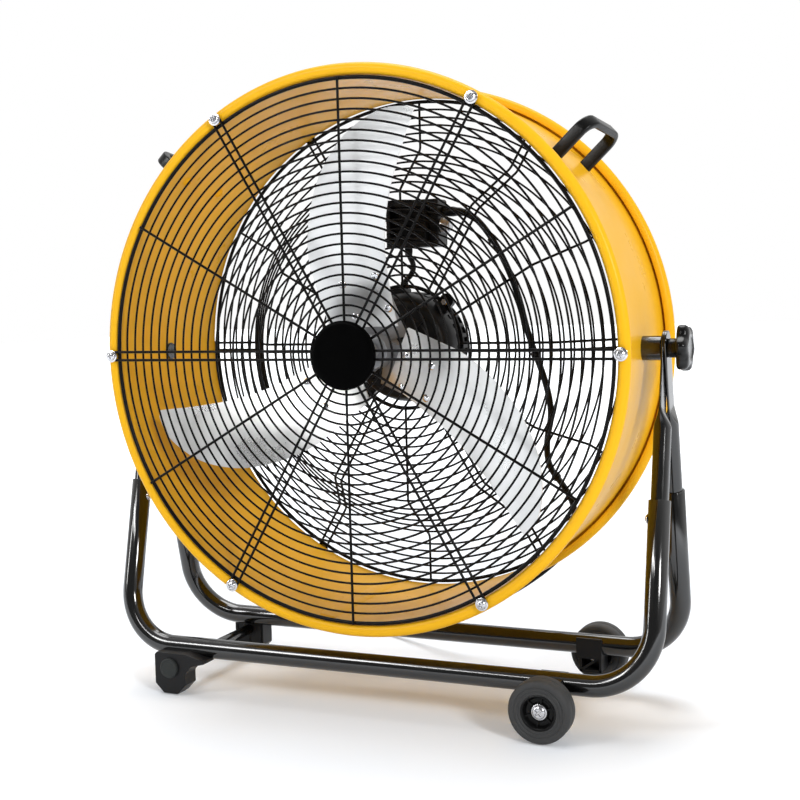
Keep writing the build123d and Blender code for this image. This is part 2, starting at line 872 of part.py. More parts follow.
def loop_outline(start, half):
    """Long narrow outline from a start radius out and round a guard screw."""
    clip = half * math.tan(math.pi / 8)
    return [
        (start, -half),
        (guard_screw_r + clip, -half),
        (guard_screw_r + half, -clip),
        (guard_screw_r + half, clip),
        (guard_screw_r + clip, half),
        (start, half),
    ]


def make_front_guard():
    """Flat grille: rings inside the rim, and in front of them single and looped double spokes."""
    pitch = (guard_rim_r - guard_first_r) / guard_ring_count
    radii = [guard_first_r + pitch * index for index in range(guard_ring_count)]
    rings = [(radius, ring_wire, sides_for(radius)) for radius in radii]
    rings.append((guard_rim_r, rim_wire, sides_for(guard_rim_r)))
    start = hub_disc_r - 2 * spoke_wire
    half = (spoke_pair_gap + spoke_wire) / 2
    step = 180 / double_spokes
    with BuildPart() as spokes:
        with BuildSketch(facing_plane(-rim_face)):
            with PolarLocations(0, double_spokes):
                Polygon(*loop_outline(start, half), align=None)
            with PolarLocations(0, double_spokes):
                inside = loop_outline(start + spoke_wire, half - spoke_wire)
                Polygon(*inside, align=None, mode=Mode.SUBTRACT)
            with PolarLocations((start + guard_rim_r) / 2, double_spokes, start_angle=step):
                Rectangle(guard_rim_r - start, spoke_wire)
        extrude(amount=spoke_wire)
    layer = ring_layer(facing_plane(-rim_face + ring_wire), rings)
    return Compound(children=[layer, spokes.part])


def make_hub_disc():
    """Plain disc closing the middle of the front guard."""
    with BuildPart() as disc:
        with BuildSketch(facing_plane(-rim_face - spoke_wire)):
            RegularPolygon(hub_disc_r, hub_disc_sides)
        extrude(amount=hub_disc_thickness)
        chamfer(disc.part.faces().sort_by(Axis.Y)[0].edges(), length=hub_disc_edge)
    return disc.part


def make_rear_guard():
    """Dished grille: flat at the rim, a cone running forward, then a floor for the motor."""
    rim_pitch = (guard_rim_r - dish_outer_r) / dish_rim_rings
    rim_radii = [guard_rim_r - rim_pitch * index for index in range(1, dish_rim_rings)]
    rim_rings = [(radius, ring_wire, sides_for(radius)) for radius in rim_radii]
    rim_rings.append((guard_rim_r, rim_wire, sides_for(guard_rim_r)))
    floor_pitch = (dish_inner_r - ring_wire - dish_first_r) / (dish_floor_rings - 1)
    floor_radii = [dish_first_r + floor_pitch * index for index in range(dish_floor_rings)]
    floor_rings = [(radius, ring_wire, sides_for(radius)) for radius in floor_radii]
    layers = [ring_layer(facing_plane(rim_face), rim_rings)]
    layers.append(ring_layer(facing_plane(dish_floor), floor_rings))
    cone_pitch = (dish_outer_r - dish_inner_r) / (dish_cone_rings + 1)
    for index in range(dish_cone_rings):
        radius = dish_inner_r + cone_pitch * (index + 1)
        depth = dish_floor + (radius - ring_wire / 2 - dish_inner_r) * cone_slope
        layers.append(ring_layer(facing_plane(depth), [(radius, ring_wire, cone_sides)]))
    for index in range(2 * double_spokes):
        layers.append(make_rear_spoke(index * 180 / double_spokes, doubled=index % 2 == 0))
    return Compound(children=layers)


def make_rear_spoke(angle, doubled):
    """One spoke of the rear guard, or a pair of them bridged outside their guard screw."""
    tip = guard_screw_r + spoke_pair_gap / 2 + spoke_wire / 2
    run = [
        (dish_floor, spoke_root_r),
        (dish_floor, dish_inner_r),
        (rim_face, dish_outer_r),
        (rim_face, tip if doubled else guard_rim_r),
    ]
    section = strip(run, -spoke_wire)
    plane = radial_plane(angle)
    with BuildPart() as spoke:
        for shift in ((-1, 1) if doubled else (0,)):
            middle = plane.offset(shift * spoke_pair_gap / 2)
            with BuildSketch(middle):
                Polygon(*section, align=None)
            extrude(amount=spoke_wire / 2, both=True)
        if doubled:
            with BuildSketch(plane):
                with Locations((rim_face + spoke_wire / 2, tip - spoke_wire / 2)):
                    Rectangle(spoke_wire, spoke_wire)
            extrude(amount=spoke_pair_gap / 2, both=True)
    return spoke.part


def make_guard_screws():
    """Screw and washer on each double spoke's end, through the rolled rims' faces."""
    with BuildPart() as screws:
        for side in (-1, 1):
            seat = Plane(
                origin=(0, side * (rim_face + spoke_wire), pivot_height),
                x_dir=(1, 0, 0),
                z_dir=(0, side, 0),
            )
            with BuildSketch(seat):
                with PolarLocations(guard_screw_r, double_spokes):
                    RegularPolygon(washer_d / 2, screw_sides)
            extrude(amount=washer_thickness)
            with BuildSketch(seat.offset(washer_thickness)):
                with PolarLocations(guard_screw_r, double_spokes):
                    RegularPolygon(screw_head_d / 2, screw_sides)
            extrude(amount=screw_head_height)
            with BuildSketch(seat):
                with PolarLocations(guard_screw_r, double_spokes):
                    RegularPolygon(screw_d / 2, screw_sides)
            extrude(amount=-screw_length)
    return screws.part


# ---- motor ----
def ribbed_outline(radius, depth, ribs):
    """Outline with shallow cooling ribs."""
    points = []
    for corner in range(2 * ribs):
        turn = math.pi * corner / ribs
        reach = radius - depth * (corner % 2)
        points.append((reach * math.cos(turn), reach * math.sin(turn)))
    return points


def make_motor_casing():
    """Ribbed sleeve round the stator, between the two bells."""
    with BuildPart() as casing:
        with BuildSketch(facing_plane(stator_back)):
            Polygon(*ribbed_outline(motor_r, motor_rib_depth, motor_ribs), align=None)
            inside = motor_r - motor_rib_depth - casing_wall
            RegularPolygon(inside, bell_sides, mode=Mode.SUBTRACT)
        extrude(amount=stator_depth)
    return casing.part


def make_front_bell():
    """Front end of the motor, tapered to its nose, with ears that bolt it to the cradle."""
    inside = bell_front_r - casing_wall
    with BuildPart() as bell:
        with BuildSketch(facing_plane(stator_front)):
            RegularPolygon(motor_r, bell_sides)
        with BuildSketch(facing_plane(bell_front)):
            RegularPolygon(bell_front_r, bell_sides)
        loft(ruled=True)
        with BuildSketch(facing_plane(bell_front)):
            RegularPolygon(motor_nose_r, bell_sides)
        extrude(amount=motor_nose_length)
        with BuildSketch(facing_plane(ear_y + ear_thickness)):
            with PolarLocations(ear_bolt_r, ear_count, start_angle=ear_angle):
                Rectangle(2 * (cradle_r - ear_bolt_r), ear_width)
                with Locations((-ear_width / 2, 0)):
                    Rectangle(ear_width, ear_width)
            with PolarLocations(ear_bolt_r, ear_count, start_angle=ear_angle):
                Circle(motor_bolt_d / 2, mode=Mode.SUBTRACT)
        extrude(amount=ear_thickness)
        with BuildSketch(facing_plane(stator_front)):
            RegularPolygon(inside, bell_sides)
        extrude(amount=bell_depth - 2 * casing_wall, mode=Mode.SUBTRACT)
        with BuildSketch(facing_plane(bell_front + 2 * casing_wall)):
            RegularPolygon(bearing_d / 2, turned_sides)
        extrude(amount=bearing_width, mode=Mode.SUBTRACT)
        with BuildSketch(facing_plane(stator_front)):
            Circle(shaft_d / 2 + 1)
        extrude(amount=bell_depth + motor_nose_length, mode=Mode.SUBTRACT)
    return bell.part


def make_rear_bell():
    """Rear end of the motor, a shallow tapered cap holding the rear bearing."""
    with BuildPart() as bell:
        with BuildSketch(facing_plane(stator_back)):
            RegularPolygon(motor_r, bell_sides)
        with BuildSketch(facing_plane(motor_back)):
            RegularPolygon(rear_bell_r, bell_sides)
        loft(ruled=True)
        with BuildSketch(facing_plane(stator_back)):
            RegularPolygon(bearing_d / 2, turned_sides)
        extrude(amount=-bearing_width, mode=Mode.SUBTRACT)
    return bell.part


def make_stator():
    """Ring of laminations fixed in the casing."""
    inside = motor_r - motor_rib_depth - casing_wall
    middle = stator_front + (stator_depth + core_depth) / 2
    with BuildPart() as stator:
        with BuildSketch(facing_plane(middle)):
            RegularPolygon(inside, bell_sides)
            RegularPolygon(stator_bore_r, bell_sides, major_radius=False, mode=Mode.SUBTRACT)
        extrude(amount=core_depth)
    return stator.part


def make_motor_rotor():
    """Laminated core pressed on the shaft."""
    middle = stator_front + (stator_depth + core_depth) / 2
    with BuildPart() as rotor:
        with BuildSketch(facing_plane(middle)):
            RegularPolygon(stator_bore_r - air_gap, bell_sides)
            Circle(shaft_d / 2, mode=Mode.SUBTRACT)
        extrude(amount=core_depth)
    return rotor.part


def make_motor_bearings():
    """Bearings in the two bells, the shaft running in them."""
    with BuildPart() as bearings:
        for y in (bell_front + 2 * casing_wall, stator_back + bearing_width):
            with BuildSketch(facing_plane(y)):
                RegularPolygon(bearing_d / 2, turned_sides)
                Circle(shaft_d / 2 + shaft_clearance, mode=Mode.SUBTRACT)
            extrude(amount=bearing_width)
    return bearings.part


def make_cradle():
    """Plate ring welded to the inner ends of the rear guard's spokes."""
    with BuildPart() as cradle:
        with BuildSketch(facing_plane(ear_y)):
            RegularPolygon(cradle_r, bell_sides)
            RegularPolygon(motor_r + cradle_clearance, bell_sides, mode=Mode.SUBTRACT)
            with PolarLocations(ear_bolt_r, ear_count, start_angle=ear_angle):
                Circle(motor_bolt_d / 2, mode=Mode.SUBTRACT)
        extrude(amount=cradle_thickness)
    return cradle.part


def make_motor_bolts():
    """Bolt and nut through each ear and the cradle."""
    grip = ear_thickness + cradle_thickness
    with BuildPart() as bolts:
        with BuildSketch(facing_plane(ear_y + ear_thickness)):
            with PolarLocations(ear_bolt_r, ear_count, start_angle=ear_angle):
                RegularPolygon(motor_bolt_head_d / 2, 6)
        extrude(amount=-motor_bolt_head)
        with BuildSketch(facing_plane(cradle_y)):
            with PolarLocations(ear_bolt_r, ear_count, start_angle=ear_angle):
                RegularPolygon(motor_bolt_head_d / 2, 6)
        extrude(amount=motor_bolt_head)
        with BuildSketch(facing_plane(ear_y + ear_thickness)):
            with PolarLocations(ear_bolt_r, ear_count, start_angle=ear_angle):
                RegularPolygon(motor_bolt_d / 2, 6)
        extrude(amount=grip)
    return bolts.part


def make_terminal_box():
    """Small box on the motor's sleeve where its lead goes in."""
    back = terminal_front + terminal_depth
    with BuildPart() as box:
        with BuildSketch(facing_plane(back)):
            with Locations(((terminal_left + terminal_right) / 2, terminal_top / 2)):
                Rectangle(terminal_right - terminal_left, terminal_top)
        extrude(amount=terminal_depth)
        chamfer(box.part.edges().filter_by(Axis.Y).group_by(Axis.Z)[-1], length=motor_rib_depth)
        with BuildSketch(facing_plane(back)):
            Polygon(*ribbed_outline(motor_r, motor_rib_depth, motor_ribs), align=None)
        extrude(amount=terminal_depth, mode=Mode.SUBTRACT)
    return box.part


# ---- shaft, hub and blades ----
def make_shaft():
    with BuildPart() as shaft:
        with BuildSketch(facing_plane(shaft_rear)):
            Circle(shaft_d / 2)
        extrude(amount=shaft_rear - shaft_front)
    return shaft.part


def blade_plane(angle):
    """Across the drum's axis, square to a sheet's lines: local x is depth, local y sideways."""
    turn = math.radians(angle)
    out = Vector(math.cos(turn), 0, math.sin(turn))
    origin = head_centre + Vector(0, blade_axis_y, 0)
    return Plane(origin=origin, x_dir=(0, 1, 0), z_dir=out)


def blade_front_plane(angle):
    """A blade seen from the front: local x along its sheet's lines, local y sideways."""
    across = blade_plane(angle)
    return Plane(origin=across.origin, x_dir=across.z_dir, z_dir=(0, -1, 0))


def camber_centre():
    pitch = math.radians(blade_pitch)
    return (blade_camber_r * math.cos(pitch), blade_camber_r * math.sin(pitch))


def camber_turn(sideways):
    """Direction from the camber's centre, in degrees, to the sheet at a sideways distance."""
    return 180 - math.degrees(math.asin((sideways - camber_centre()[1]) / blade_camber_r))


def camber_section(angle, near, far):
    """Section of the bent sheet between two arcs about the camber's centre."""
    start = camber_turn(blade_sheet_to)
    extent = camber_turn(blade_sheet_from) - start
    with BuildSketch(blade_plane(angle)) as section:
        with BuildLine():
            outer = CenterArc(camber_centre(), far, start, extent)
            inner = CenterArc(camber_centre(), near, start, extent)
            Line(outer @ 0, inner @ 0)
            Line(outer @ 1, inner @ 1)
        make_face()
    return section.sketch


def blade_outline(angle):
    """Sickle-shaped blade seen from the front."""
    with BuildSketch(blade_front_plane(angle)) as outline:
        with BuildLine():
            Spline(*blade_straight_edge)
            Spline(*blade_convex_edge)
            Line(blade_convex_edge[-1], blade_straight_edge[0])
        make_face()
    return outline.sketch


def arm_point(along, across):
    """Place on an arm, from the middle of its rivets, in the blade's front view."""
    turn = math.radians(arm_turn)
    out = arm_middle[0] + along * math.cos(turn) - across * math.sin(turn)
    sideways = arm_middle[1] + along * math.sin(turn) + across * math.cos(turn)
    return (out, sideways)


def make_blade(angle):
    """Stamped sheet blade: the bent sheet trimmed to its outline, with its rivet holes."""
    sheet = camber_section(angle, blade_camber_r, blade_camber_r + blade_sheet)
    with BuildPart() as blade:
        extrude(sheet, amount=blade_blank_reach, both=True)
        extrude(blade_outline(angle), amount=blade_blank_reach, both=True, mode=Mode.INTERSECT)
        for seat in rivet_planes(angle):
            with BuildSketch(seat):
                RegularPolygon(rivet_d / 2, rivet_sides)
            extrude(amount=blade_sheet + arm_sheet, both=True, mode=Mode.SUBTRACT)
    return blade.part


def rivet_planes(angle):
    """On the arm's face under the blade at each rivet, normal through the sheets."""
    across = blade_plane(angle)
    depth, sideways = camber_centre()
    centre = across.origin + across.x_dir * depth + across.y_dir * sideways
    planes = []
    for along in (-rivet_pitch / 2, rivet_pitch / 2):
        for side in (-rivet_pitch / 2, rivet_pitch / 2):
            spot = arm_point(along, side)
            turn = math.radians(camber_turn(spot[1]))
            normal = across.x_dir * math.cos(turn) + across.y_dir * math.sin(turn)
            origin = centre + normal * blade_camber_r + across.z_dir * spot[0]
            planes.append(Plane(origin=origin, x_dir=across.z_dir, z_dir=normal))
    return planes


def make_hub_arm(angle):
    """Sheet arm that follows the underside of a blade's root."""
    corners = [
        arm_point(-arm_root, -arm_half_width),
        arm_point(arm_tip, -arm_half_width),
        arm_point(arm_tip, arm_half_width),
        arm_point(-arm_root, arm_half_width),
    ]
    sheet = camber_section(angle, blade_camber_r - arm_sheet, blade_camber_r)
    with BuildPart() as arm:
        extrude(sheet, amount=blade_blank_reach, both=True)
        with BuildSketch(blade_front_plane(angle)):
            Polygon(*corners, align=None)
        extrude(amount=blade_blank_reach, both=True, mode=Mode.INTERSECT)
        for seat in rivet_planes(angle):
            with BuildSketch(seat):
                RegularPolygon(rivet_d / 2, rivet_sides)
            extrude(amount=2 * arm_sheet, both=True, mode=Mode.SUBTRACT)
    return arm.part


def make_fan_hub():
    """Barrel on the shaft with a sheet arm under each blade's root."""
    with BuildPart() as hub:
        for index in range(blade_count):
            add(make_hub_arm(blade_first_angle - index * 360 / blade_count))
        with BuildSketch(facing_plane(hub_middle_y + hub_length / 2)):
            RegularPolygon(hub_barrel_r, hub_sides)
        extrude(amount=hub_length)
        with BuildSketch(facing_plane(hub_middle_y + hub_length / 2)):
            Circle(shaft_d / 2 + shaft_clearance)
        extrude(amount=hub_length, mode=Mode.SUBTRACT)
    return hub.part


def make_rivets():
    """Rivets through each blade and its arm."""
    with BuildPart() as rivets:
        for index in range(blade_count):
            angle = blade_first_angle - index * 360 / blade_count
            for seat in rivet_planes(angle):
                with BuildSketch(seat.offset(-arm_sheet)):
                    RegularPolygon(rivet_d / 2, rivet_sides)
                extrude(amount=arm_sheet + blade_sheet)
                with BuildSketch(seat.offset(blade_sheet)):
                    RegularPolygon(rivet_head_d / 2, screw_sides)
                extrude(amount=rivet_head)
                with BuildSketch(seat.offset(-arm_sheet - rivet_seat)):
                    RegularPolygon(rivet_head_d / 2, screw_sides)
                extrude(amount=-rivet_head)
    return rivets.part


def make_hub_nut():
    front = hub_middle_y - hub_length / 2
    with BuildPart() as nut:
        with BuildSketch(facing_plane(front)):
            RegularPolygon(hub_nut_af / 2, 6, major_radius=False)
            Circle(shaft_d / 2 + shaft_clearance, mode=Mode.SUBTRACT)
        extrude(amount=hub_nut_height)
    return nut.part


# ---- control box ----
def make_box_bracket():
    """Channel welded to the rear guard's rings, its web behind the spoke it straddles."""
    middle_z = (box_bottom + box_top) / 2
    height = box_top - box_bottom - 2 * box_bracket_inset
    width = box_bracket_right - box_bracket_left
    middle_x = (box_bracket_left + box_bracket_right) / 2
    depth = box_front - dish_floor
    with BuildPart() as bracket:
        with BuildSketch(facing_plane(box_front)):
            with Locations((middle_x, middle_z)):
                Rectangle(width, height)
        extrude(amount=depth)
        with BuildSketch(facing_plane(box_front - box_bracket_sheet)):
            with Locations((middle_x, middle_z)):
                Rectangle(width - 2 * box_bracket_sheet, height)
        extrude(amount=depth, mode=Mode.SUBTRACT)
    return bracket.part


def box_middle():
    return ((box_left + box_right) / 2, (box_bottom + box_top) / 2)


def make_box_housing():
    """Moulded tray open to the back, with a grooved cheek and holes for knob, gland and lead."""
    width = box_right - box_left
    height = box_top - box_bottom
    inner_depth = box_depth - box_lid - box_wall
    with BuildPart() as housing:
        with BuildSketch(facing_plane(box_front + box_depth - box_lid)):
            with Locations(box_middle()):
                RectangleRounded(width, height, box_corner)
        extrude(amount=box_depth - box_lid)
        with BuildSketch(facing_plane(box_front + box_depth - box_lid)):
            with Locations(box_middle()):
                Rectangle(width - 2 * box_wall, height - 2 * box_wall)
        extrude(amount=inner_depth, mode=Mode.SUBTRACT)
        with BuildSketch(facing_plane(box_front + cheek_groove)):
            pitch = height / (cheek_grooves + 1)
            with Locations((box_left + cheek_width / 2, (box_bottom + box_top) / 2)):
                with GridLocations(0, pitch, 1, cheek_grooves):
                    Rectangle(cheek_width, cheek_groove)
        extrude(amount=cheek_groove, mode=Mode.SUBTRACT)
        with BuildSketch(side_plane(box_right - box_wall)):
            with Locations((speed_knob_y, speed_knob_z)):
                Circle(speed_spindle_d / 2 + speed_gap)
            with Locations((gland_y, gland_z)):
                Circle(gland_bore_r + gland_wall)
        extrude(amount=box_wall, mode=Mode.SUBTRACT)
        lead_start = Vector(*motor_lead_points[0])
        with BuildSketch(Plane((lead_start.X, lead_start.Y, pivot_height + box_bottom))):
            Circle(lead_d / 2 + cord_clearance)
        extrude(amount=box_wall, mode=Mode.SUBTRACT)
    return housing.part


def make_box_lid():
    width = box_right - box_left
    height = box_top - box_bottom
    with BuildPart() as lid:
        with BuildSketch(facing_plane(box_front + box_depth)):
            with Locations(box_middle()):
                RectangleRounded(width, height, box_corner)
                spread_x = width - 2 * lid_screw_inset
                spread_z = height - 2 * lid_screw_inset
                with GridLocations(spread_x, spread_z, 2, 2):
                    RegularPolygon(lid_screw_d / 2, screw_sides, mode=Mode.SUBTRACT)
        extrude(amount=box_lid)
    return lid.part


def make_lid_screws():
    """Four screws through the lid's corners."""
    spread_x = box_right - box_left - 2 * lid_screw_inset
    spread_z = box_top - box_bottom - 2 * lid_screw_inset
    with BuildPart() as screws:
        with BuildSketch(facing_plane(box_front + box_depth)):
            with Locations(box_middle()):
                with GridLocations(spread_x, spread_z, 2, 2):
                    RegularPolygon(lid_screw_head_d / 2, screw_sides)
        extrude(amount=-box_wall)
        with BuildSketch(facing_plane(box_front + box_depth)):
            with Locations(box_middle()):
                with GridLocations(spread_x, spread_z, 2, 2):
                    RegularPolygon(lid_screw_d / 2, screw_sides)
        extrude(amount=2 * box_lid)
    return screws.part


def make_speed_switch():
    """Rotary switch body behind the box's right wall."""
    with BuildPart() as switch:
        with BuildSketch(side_plane(box_right - box_wall)):
            with Locations((speed_knob_y, speed_knob_z)):
                Rectangle(speed_switch_size, speed_switch_size)
                Circle(speed_spindle_d / 2 + cord_clearance, mode=Mode.SUBTRACT)
        extrude(amount=-speed_switch_depth)
    return switch.part


def make_speed_knob():
    """Metal knob with its spindle, turning in the switch."""
    with BuildPart() as knob:
        with BuildSketch(side_plane(box_right + speed_gap)):
            with Locations((speed_knob_y, speed_knob_z)):
                RegularPolygon(speed_knob_d / 2, speed_knob_sides)
        extrude(amount=speed_knob_length)
        chamfer(knob.part.faces().sort_by(Axis.X)[-1].edges(), length=1.5)
        with BuildSketch(side_plane(box_right + speed_gap)):
            with Locations((speed_knob_y, speed_knob_z)):
                Circle(speed_spindle_d / 2)
        extrude(amount=-(box_wall + speed_switch_depth))
    return knob.part


def make_cord_gland():
    """Threaded sleeve and cap where the cord enters the box."""
    with BuildPart() as gland:
        with BuildSketch(side_plane(box_right)):
            with Locations((gland_y, gland_z)):
                RegularPolygon(gland_d / 2, screw_sides)
        extrude(amount=gland_length)
        with BuildSketch(side_plane(box_right)):
            with Locations((gland_y, gland_z)):
                RegularPolygon(gland_bore_r + gland_wall, screw_sides)
        extrude(amount=-box_wall)
        with BuildSketch(side_plane(box_right - box_wall)):
            with Locations((gland_y, gland_z)):
                RegularPolygon(gland_bore_r, screw_sides, major_radius=False)
        extrude(amount=gland_length + box_wall, mode=Mode.SUBTRACT)
    return gland.part


# ---- cord ----
def make_cord_clips():
    """Bands that hold the cord against the rear guard."""
    runs = [(3, 4), (6, 7), (10, 11)]
    inner = corner_radius(cord_d / 2, cord_sides) + cord_clearance
    with BuildPart() as clips:
        for first, second in runs:
            start = Vector(*cord_guard_points[first])
            end = Vector(*cord_guard_points[second])
            with BuildSketch(Plane(origin=(start + end) * 0.5, z_dir=end - start)):
                RegularPolygon(inner + clip_wall, cord_sides)
                Circle(inner, mode=Mode.SUBTRACT)
            extrude(amount=clip_width / 2, both=True)
    return clips.part


def coil_path():
    """Half turns on the floor spiralling in, one that climbs a layer, and half turns out again."""
    start = Vector(*cord_drop_points[-1])
    first = start - Vector(cord_d, 0, 0)
    centre = Vector(first.X, first.Y + coil_radius, 0)
    upper = coil_floor + coil_layer
    steps = [coil_radius - coil_step / 2 * index for index in range(coil_half_turns + 1)]
    stops = [(radius, coil_floor) for radius in steps]
    stops += [(radius, upper) for radius in reversed(steps)]
    points = []
    for index, (radius, height) in enumerate(stops):
        points.append(Vector(centre.X, centre.Y - radius * (-1) ** index, height))
    end = points[-1] + Vector(coil_tail * (-1) ** len(points), 0, 0)
    return start, points, end


def make_cord_coil():
    start, points, end = coil_path()
    least = None
    with BuildPart() as coil:
        with BuildLine() as path:
            Line(start, points[0])
            for index, (near, far) in enumerate(zip(points, points[1:])):
                middle = (near + far) * 0.5
                reach = (far - near).length / 2
                side = -1 if index % 2 == 0 else 1
                ThreePointArc(near, middle + Vector(side * reach, 0, 0), far)
            Line(points[-1], end)
        route = path.wire()
        with BuildSketch(route ^ 0):
            RegularPolygon(corner_radius(cord_d / 2, coil_sides), coil_sides)
        sweep(path=route)
    samples = [route @ (index / 400) for index in range(401)]
    apart = route.length / 400
    skip = math.ceil(4 * cord_d / apart)
    for index, sample in enumerate(samples):
        for other in samples[index + skip:]:
            gap = (other - sample).length - cord_d
            least = gap if least is None else min(least, gap)
    print(f"cord_coil length {route.length:.0f} mm, least gap to itself {least:.2f} mm")
    return coil.part


def plug_face():
    """Square to the cord's end where it enters the plug, normal away from the cord."""
    return Plane(origin=coil_path()[2], x_dir=(0, 1, 0), z_dir=(1, 0, 0))


def plug_outline(width, height):
    """Rectangle with its corners cut off at 45 degrees."""
    clip = height / 5
    points = []
    for across, up in ((1, 1), (-1, 1), (-1, -1), (1, -1)):
        side_first = across * up > 0
        beside = (across * width / 2, up * (height / 2 - clip))
        above = (across * (width / 2 - clip), up * height / 2)
        points += [beside, above] if side_first else [above, beside]
    return points


def make_plug_body():
    """Moulded plug lying on the floor, narrowed where the cord goes in."""
    height = 2 * (plug_face().origin.Z - cord_floor_gap)
    with BuildPart() as plug:
        with BuildSketch(plug_face().offset(plug_length / 2)):
            Polygon(*plug_outline(plug_width, height), align=None)
        extrude(amount=plug_length / 2)
        with BuildSketch(plug_face()):
            Polygon(*plug_outline(plug_width / 2, height / 2), align=None)
        with BuildSketch(plug_face().offset(plug_length / 2)):
            Polygon(*plug_outline(plug_width, height), align=None)
        loft(ruled=True)
    return plug.part


def make_plug_pins():
    with BuildPart() as pins:
        with BuildSketch(plug_face().offset(plug_length)):
            with GridLocations(pin_pitch, 0, 2, 1):
                RegularPolygon(pin_d / 2, screw_sides)
        extrude(amount=pin_length)
    return pins.part


os.makedirs("parts", exist_ok=True)

sides = {-1: "front", 1: "rear"}
hands = {-1: "left", 1: "right"}
for side, side_name in sides.items():
    write(make_base_tube(side), f"{side_name}_base_tube")
    write(make_tyre(side), f"{side_name}_tyre")
    write(make_wheel_hub(side), f"{side_name}_wheel_hub")
    write(make_foot(side), f"{side_name}_foot")
    for hand, hand_name in hands.items():
        write(make_upright(side, hand), f"{side_name}_{hand_name}_upright")
for hand, hand_name in hands.items():
    write(make_handle(hand), f"{hand_name}_handle")
    write(make_knob(hand), f"{hand_name}_tilt_knob")
write(make_stand_screws(), "stand_screws")
write(make_axle_screws(), "axle_screws")
write(make_wheel_brackets(), "wheel_brackets")
write(make_foot_bar(), "foot_bar")
write(make_foot_pads(), "foot_pads")
write(make_foot_caps(), "foot_bar_caps")
write(make_drum_shell(), "drum_shell")
write(make_handle_bolts(), "handle_bolts")
write(make_pivot_spacers(), "pivot_spacers")
write(make_pivot_bolts(), "pivot_bolts")
write(make_front_guard(), "front_guard")
write(make_hub_disc(), "guard_hub_disc")
write(make_guard_screws(), "guard_screws")
write(make_rear_guard(), "rear_guard")
write(make_cradle(), "motor_cradle")
write(make_motor_casing(), "motor_casing")
write(make_front_bell(), "motor_front_bell")
write(make_rear_bell(), "motor_rear_bell")
write(make_stator(), "motor_stator")
write(make_motor_rotor(), "motor_rotor_core")
write(make_motor_bearings(), "motor_bearings")
write(make_motor_bolts(), "motor_bolts")
write(make_terminal_box(), "motor_terminal_box")
write(make_shaft(), "motor_shaft")
write(make_fan_hub(), "fan_hub")
write(make_hub_nut(), "hub_nut")
write(make_rivets(), "blade_rivets")
for index in range(blade_count):
    write(make_blade(blade_first_angle - index * 360 / blade_count), f"blade_{index + 1}")
write(make_box_bracket(), "box_bracket")
write(make_box_housing(), "control_box_housing")
write(make_box_lid(), "control_box_lid")
write(make_lid_screws(), "lid_screws")
write(make_speed_switch(), "speed_switch")
write(make_speed_knob(), "speed_knob")
write(make_cord_gland(), "cord_gland")
write(make_cord(motor_lead_points, lead_d, cord_sides, "motor_lead"), "motor_lead")
write(make_cord(cord_guard_points, cord_d, cord_sides, "cord_guard_run"), "cord_guard_run")
write(make_cord_clips(), "cord_clips")
write(make_cord(cord_drop_points, cord_d, cord_sides, "cord_drop"), "cord_drop")
write(make_cord_coil(), "cord_coil")
write(make_plug_body(), "plug_body")
write(make_plug_pins(), "plug_pins")
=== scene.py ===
import json
import math

import bmesh
import bpy
from mathutils import Matrix, Vector

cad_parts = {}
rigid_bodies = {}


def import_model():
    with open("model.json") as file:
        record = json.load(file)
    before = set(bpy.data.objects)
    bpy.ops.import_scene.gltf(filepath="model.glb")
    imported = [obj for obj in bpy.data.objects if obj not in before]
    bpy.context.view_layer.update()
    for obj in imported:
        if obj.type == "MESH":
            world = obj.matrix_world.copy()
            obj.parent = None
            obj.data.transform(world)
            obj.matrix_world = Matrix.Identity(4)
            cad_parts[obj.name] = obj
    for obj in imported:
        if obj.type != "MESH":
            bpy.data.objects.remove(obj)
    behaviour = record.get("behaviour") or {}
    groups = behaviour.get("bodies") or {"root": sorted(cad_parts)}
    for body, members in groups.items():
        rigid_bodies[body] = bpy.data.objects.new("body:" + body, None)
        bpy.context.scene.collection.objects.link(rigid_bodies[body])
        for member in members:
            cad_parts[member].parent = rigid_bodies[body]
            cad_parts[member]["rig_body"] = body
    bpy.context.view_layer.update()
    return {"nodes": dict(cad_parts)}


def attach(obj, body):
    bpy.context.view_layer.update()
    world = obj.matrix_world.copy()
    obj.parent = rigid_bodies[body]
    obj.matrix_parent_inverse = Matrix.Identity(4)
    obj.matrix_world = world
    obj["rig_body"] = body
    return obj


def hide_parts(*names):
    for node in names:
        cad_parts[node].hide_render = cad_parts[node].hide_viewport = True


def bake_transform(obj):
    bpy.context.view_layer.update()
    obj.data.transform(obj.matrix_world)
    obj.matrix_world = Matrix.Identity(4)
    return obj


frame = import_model()


# Lengths below are millimetres in the model's frame; X viewer's right, Y back, Z up.
MM = 0.001
AXIS = 428.0  # height of the drum's axis
HEAD = Vector((0, 0, AXIS))
RIM = 118.7  # rim faces, front and back
SIDES = (-1, 1)
X, Y, Z = (1, 0, 0), (0, 1, 0), (0, 0, 1)


# ---- camera ----
def place_camera():
    data = bpy.data.cameras.new("camera")
    data.lens = 59.29
    data.sensor_width = 36.0
    data.clip_start = 0.05
    camera = bpy.data.objects.new("camera", data)
    bpy.context.scene.collection.objects.link(camera)
    right = Vector((0.91678, 0.39853, -0.02635))
    up = Vector((-0.00984, 0.08850, 0.99603))
    back = Vector((0.39928, -0.91287, 0.08506))
    turn = Matrix((right, up, back)).transposed().to_4x4()
    camera.matrix_world = Matrix.Translation((0.6631, -1.4829, 0.5040)) @ turn
    bpy.context.scene.camera = camera


place_camera()


# ---- materials ----
def srgb(*levels):
    def one(v):
        v /= 255
        return v / 12.92 if v <= 0.04045 else ((v + 0.055) / 1.055) ** 2.4

    return tuple(one(v) for v in levels) + (1.0,)


def shade(colour, share):
    return tuple(min(1.0, v * share) for v in colour[:3]) + (1.0,)


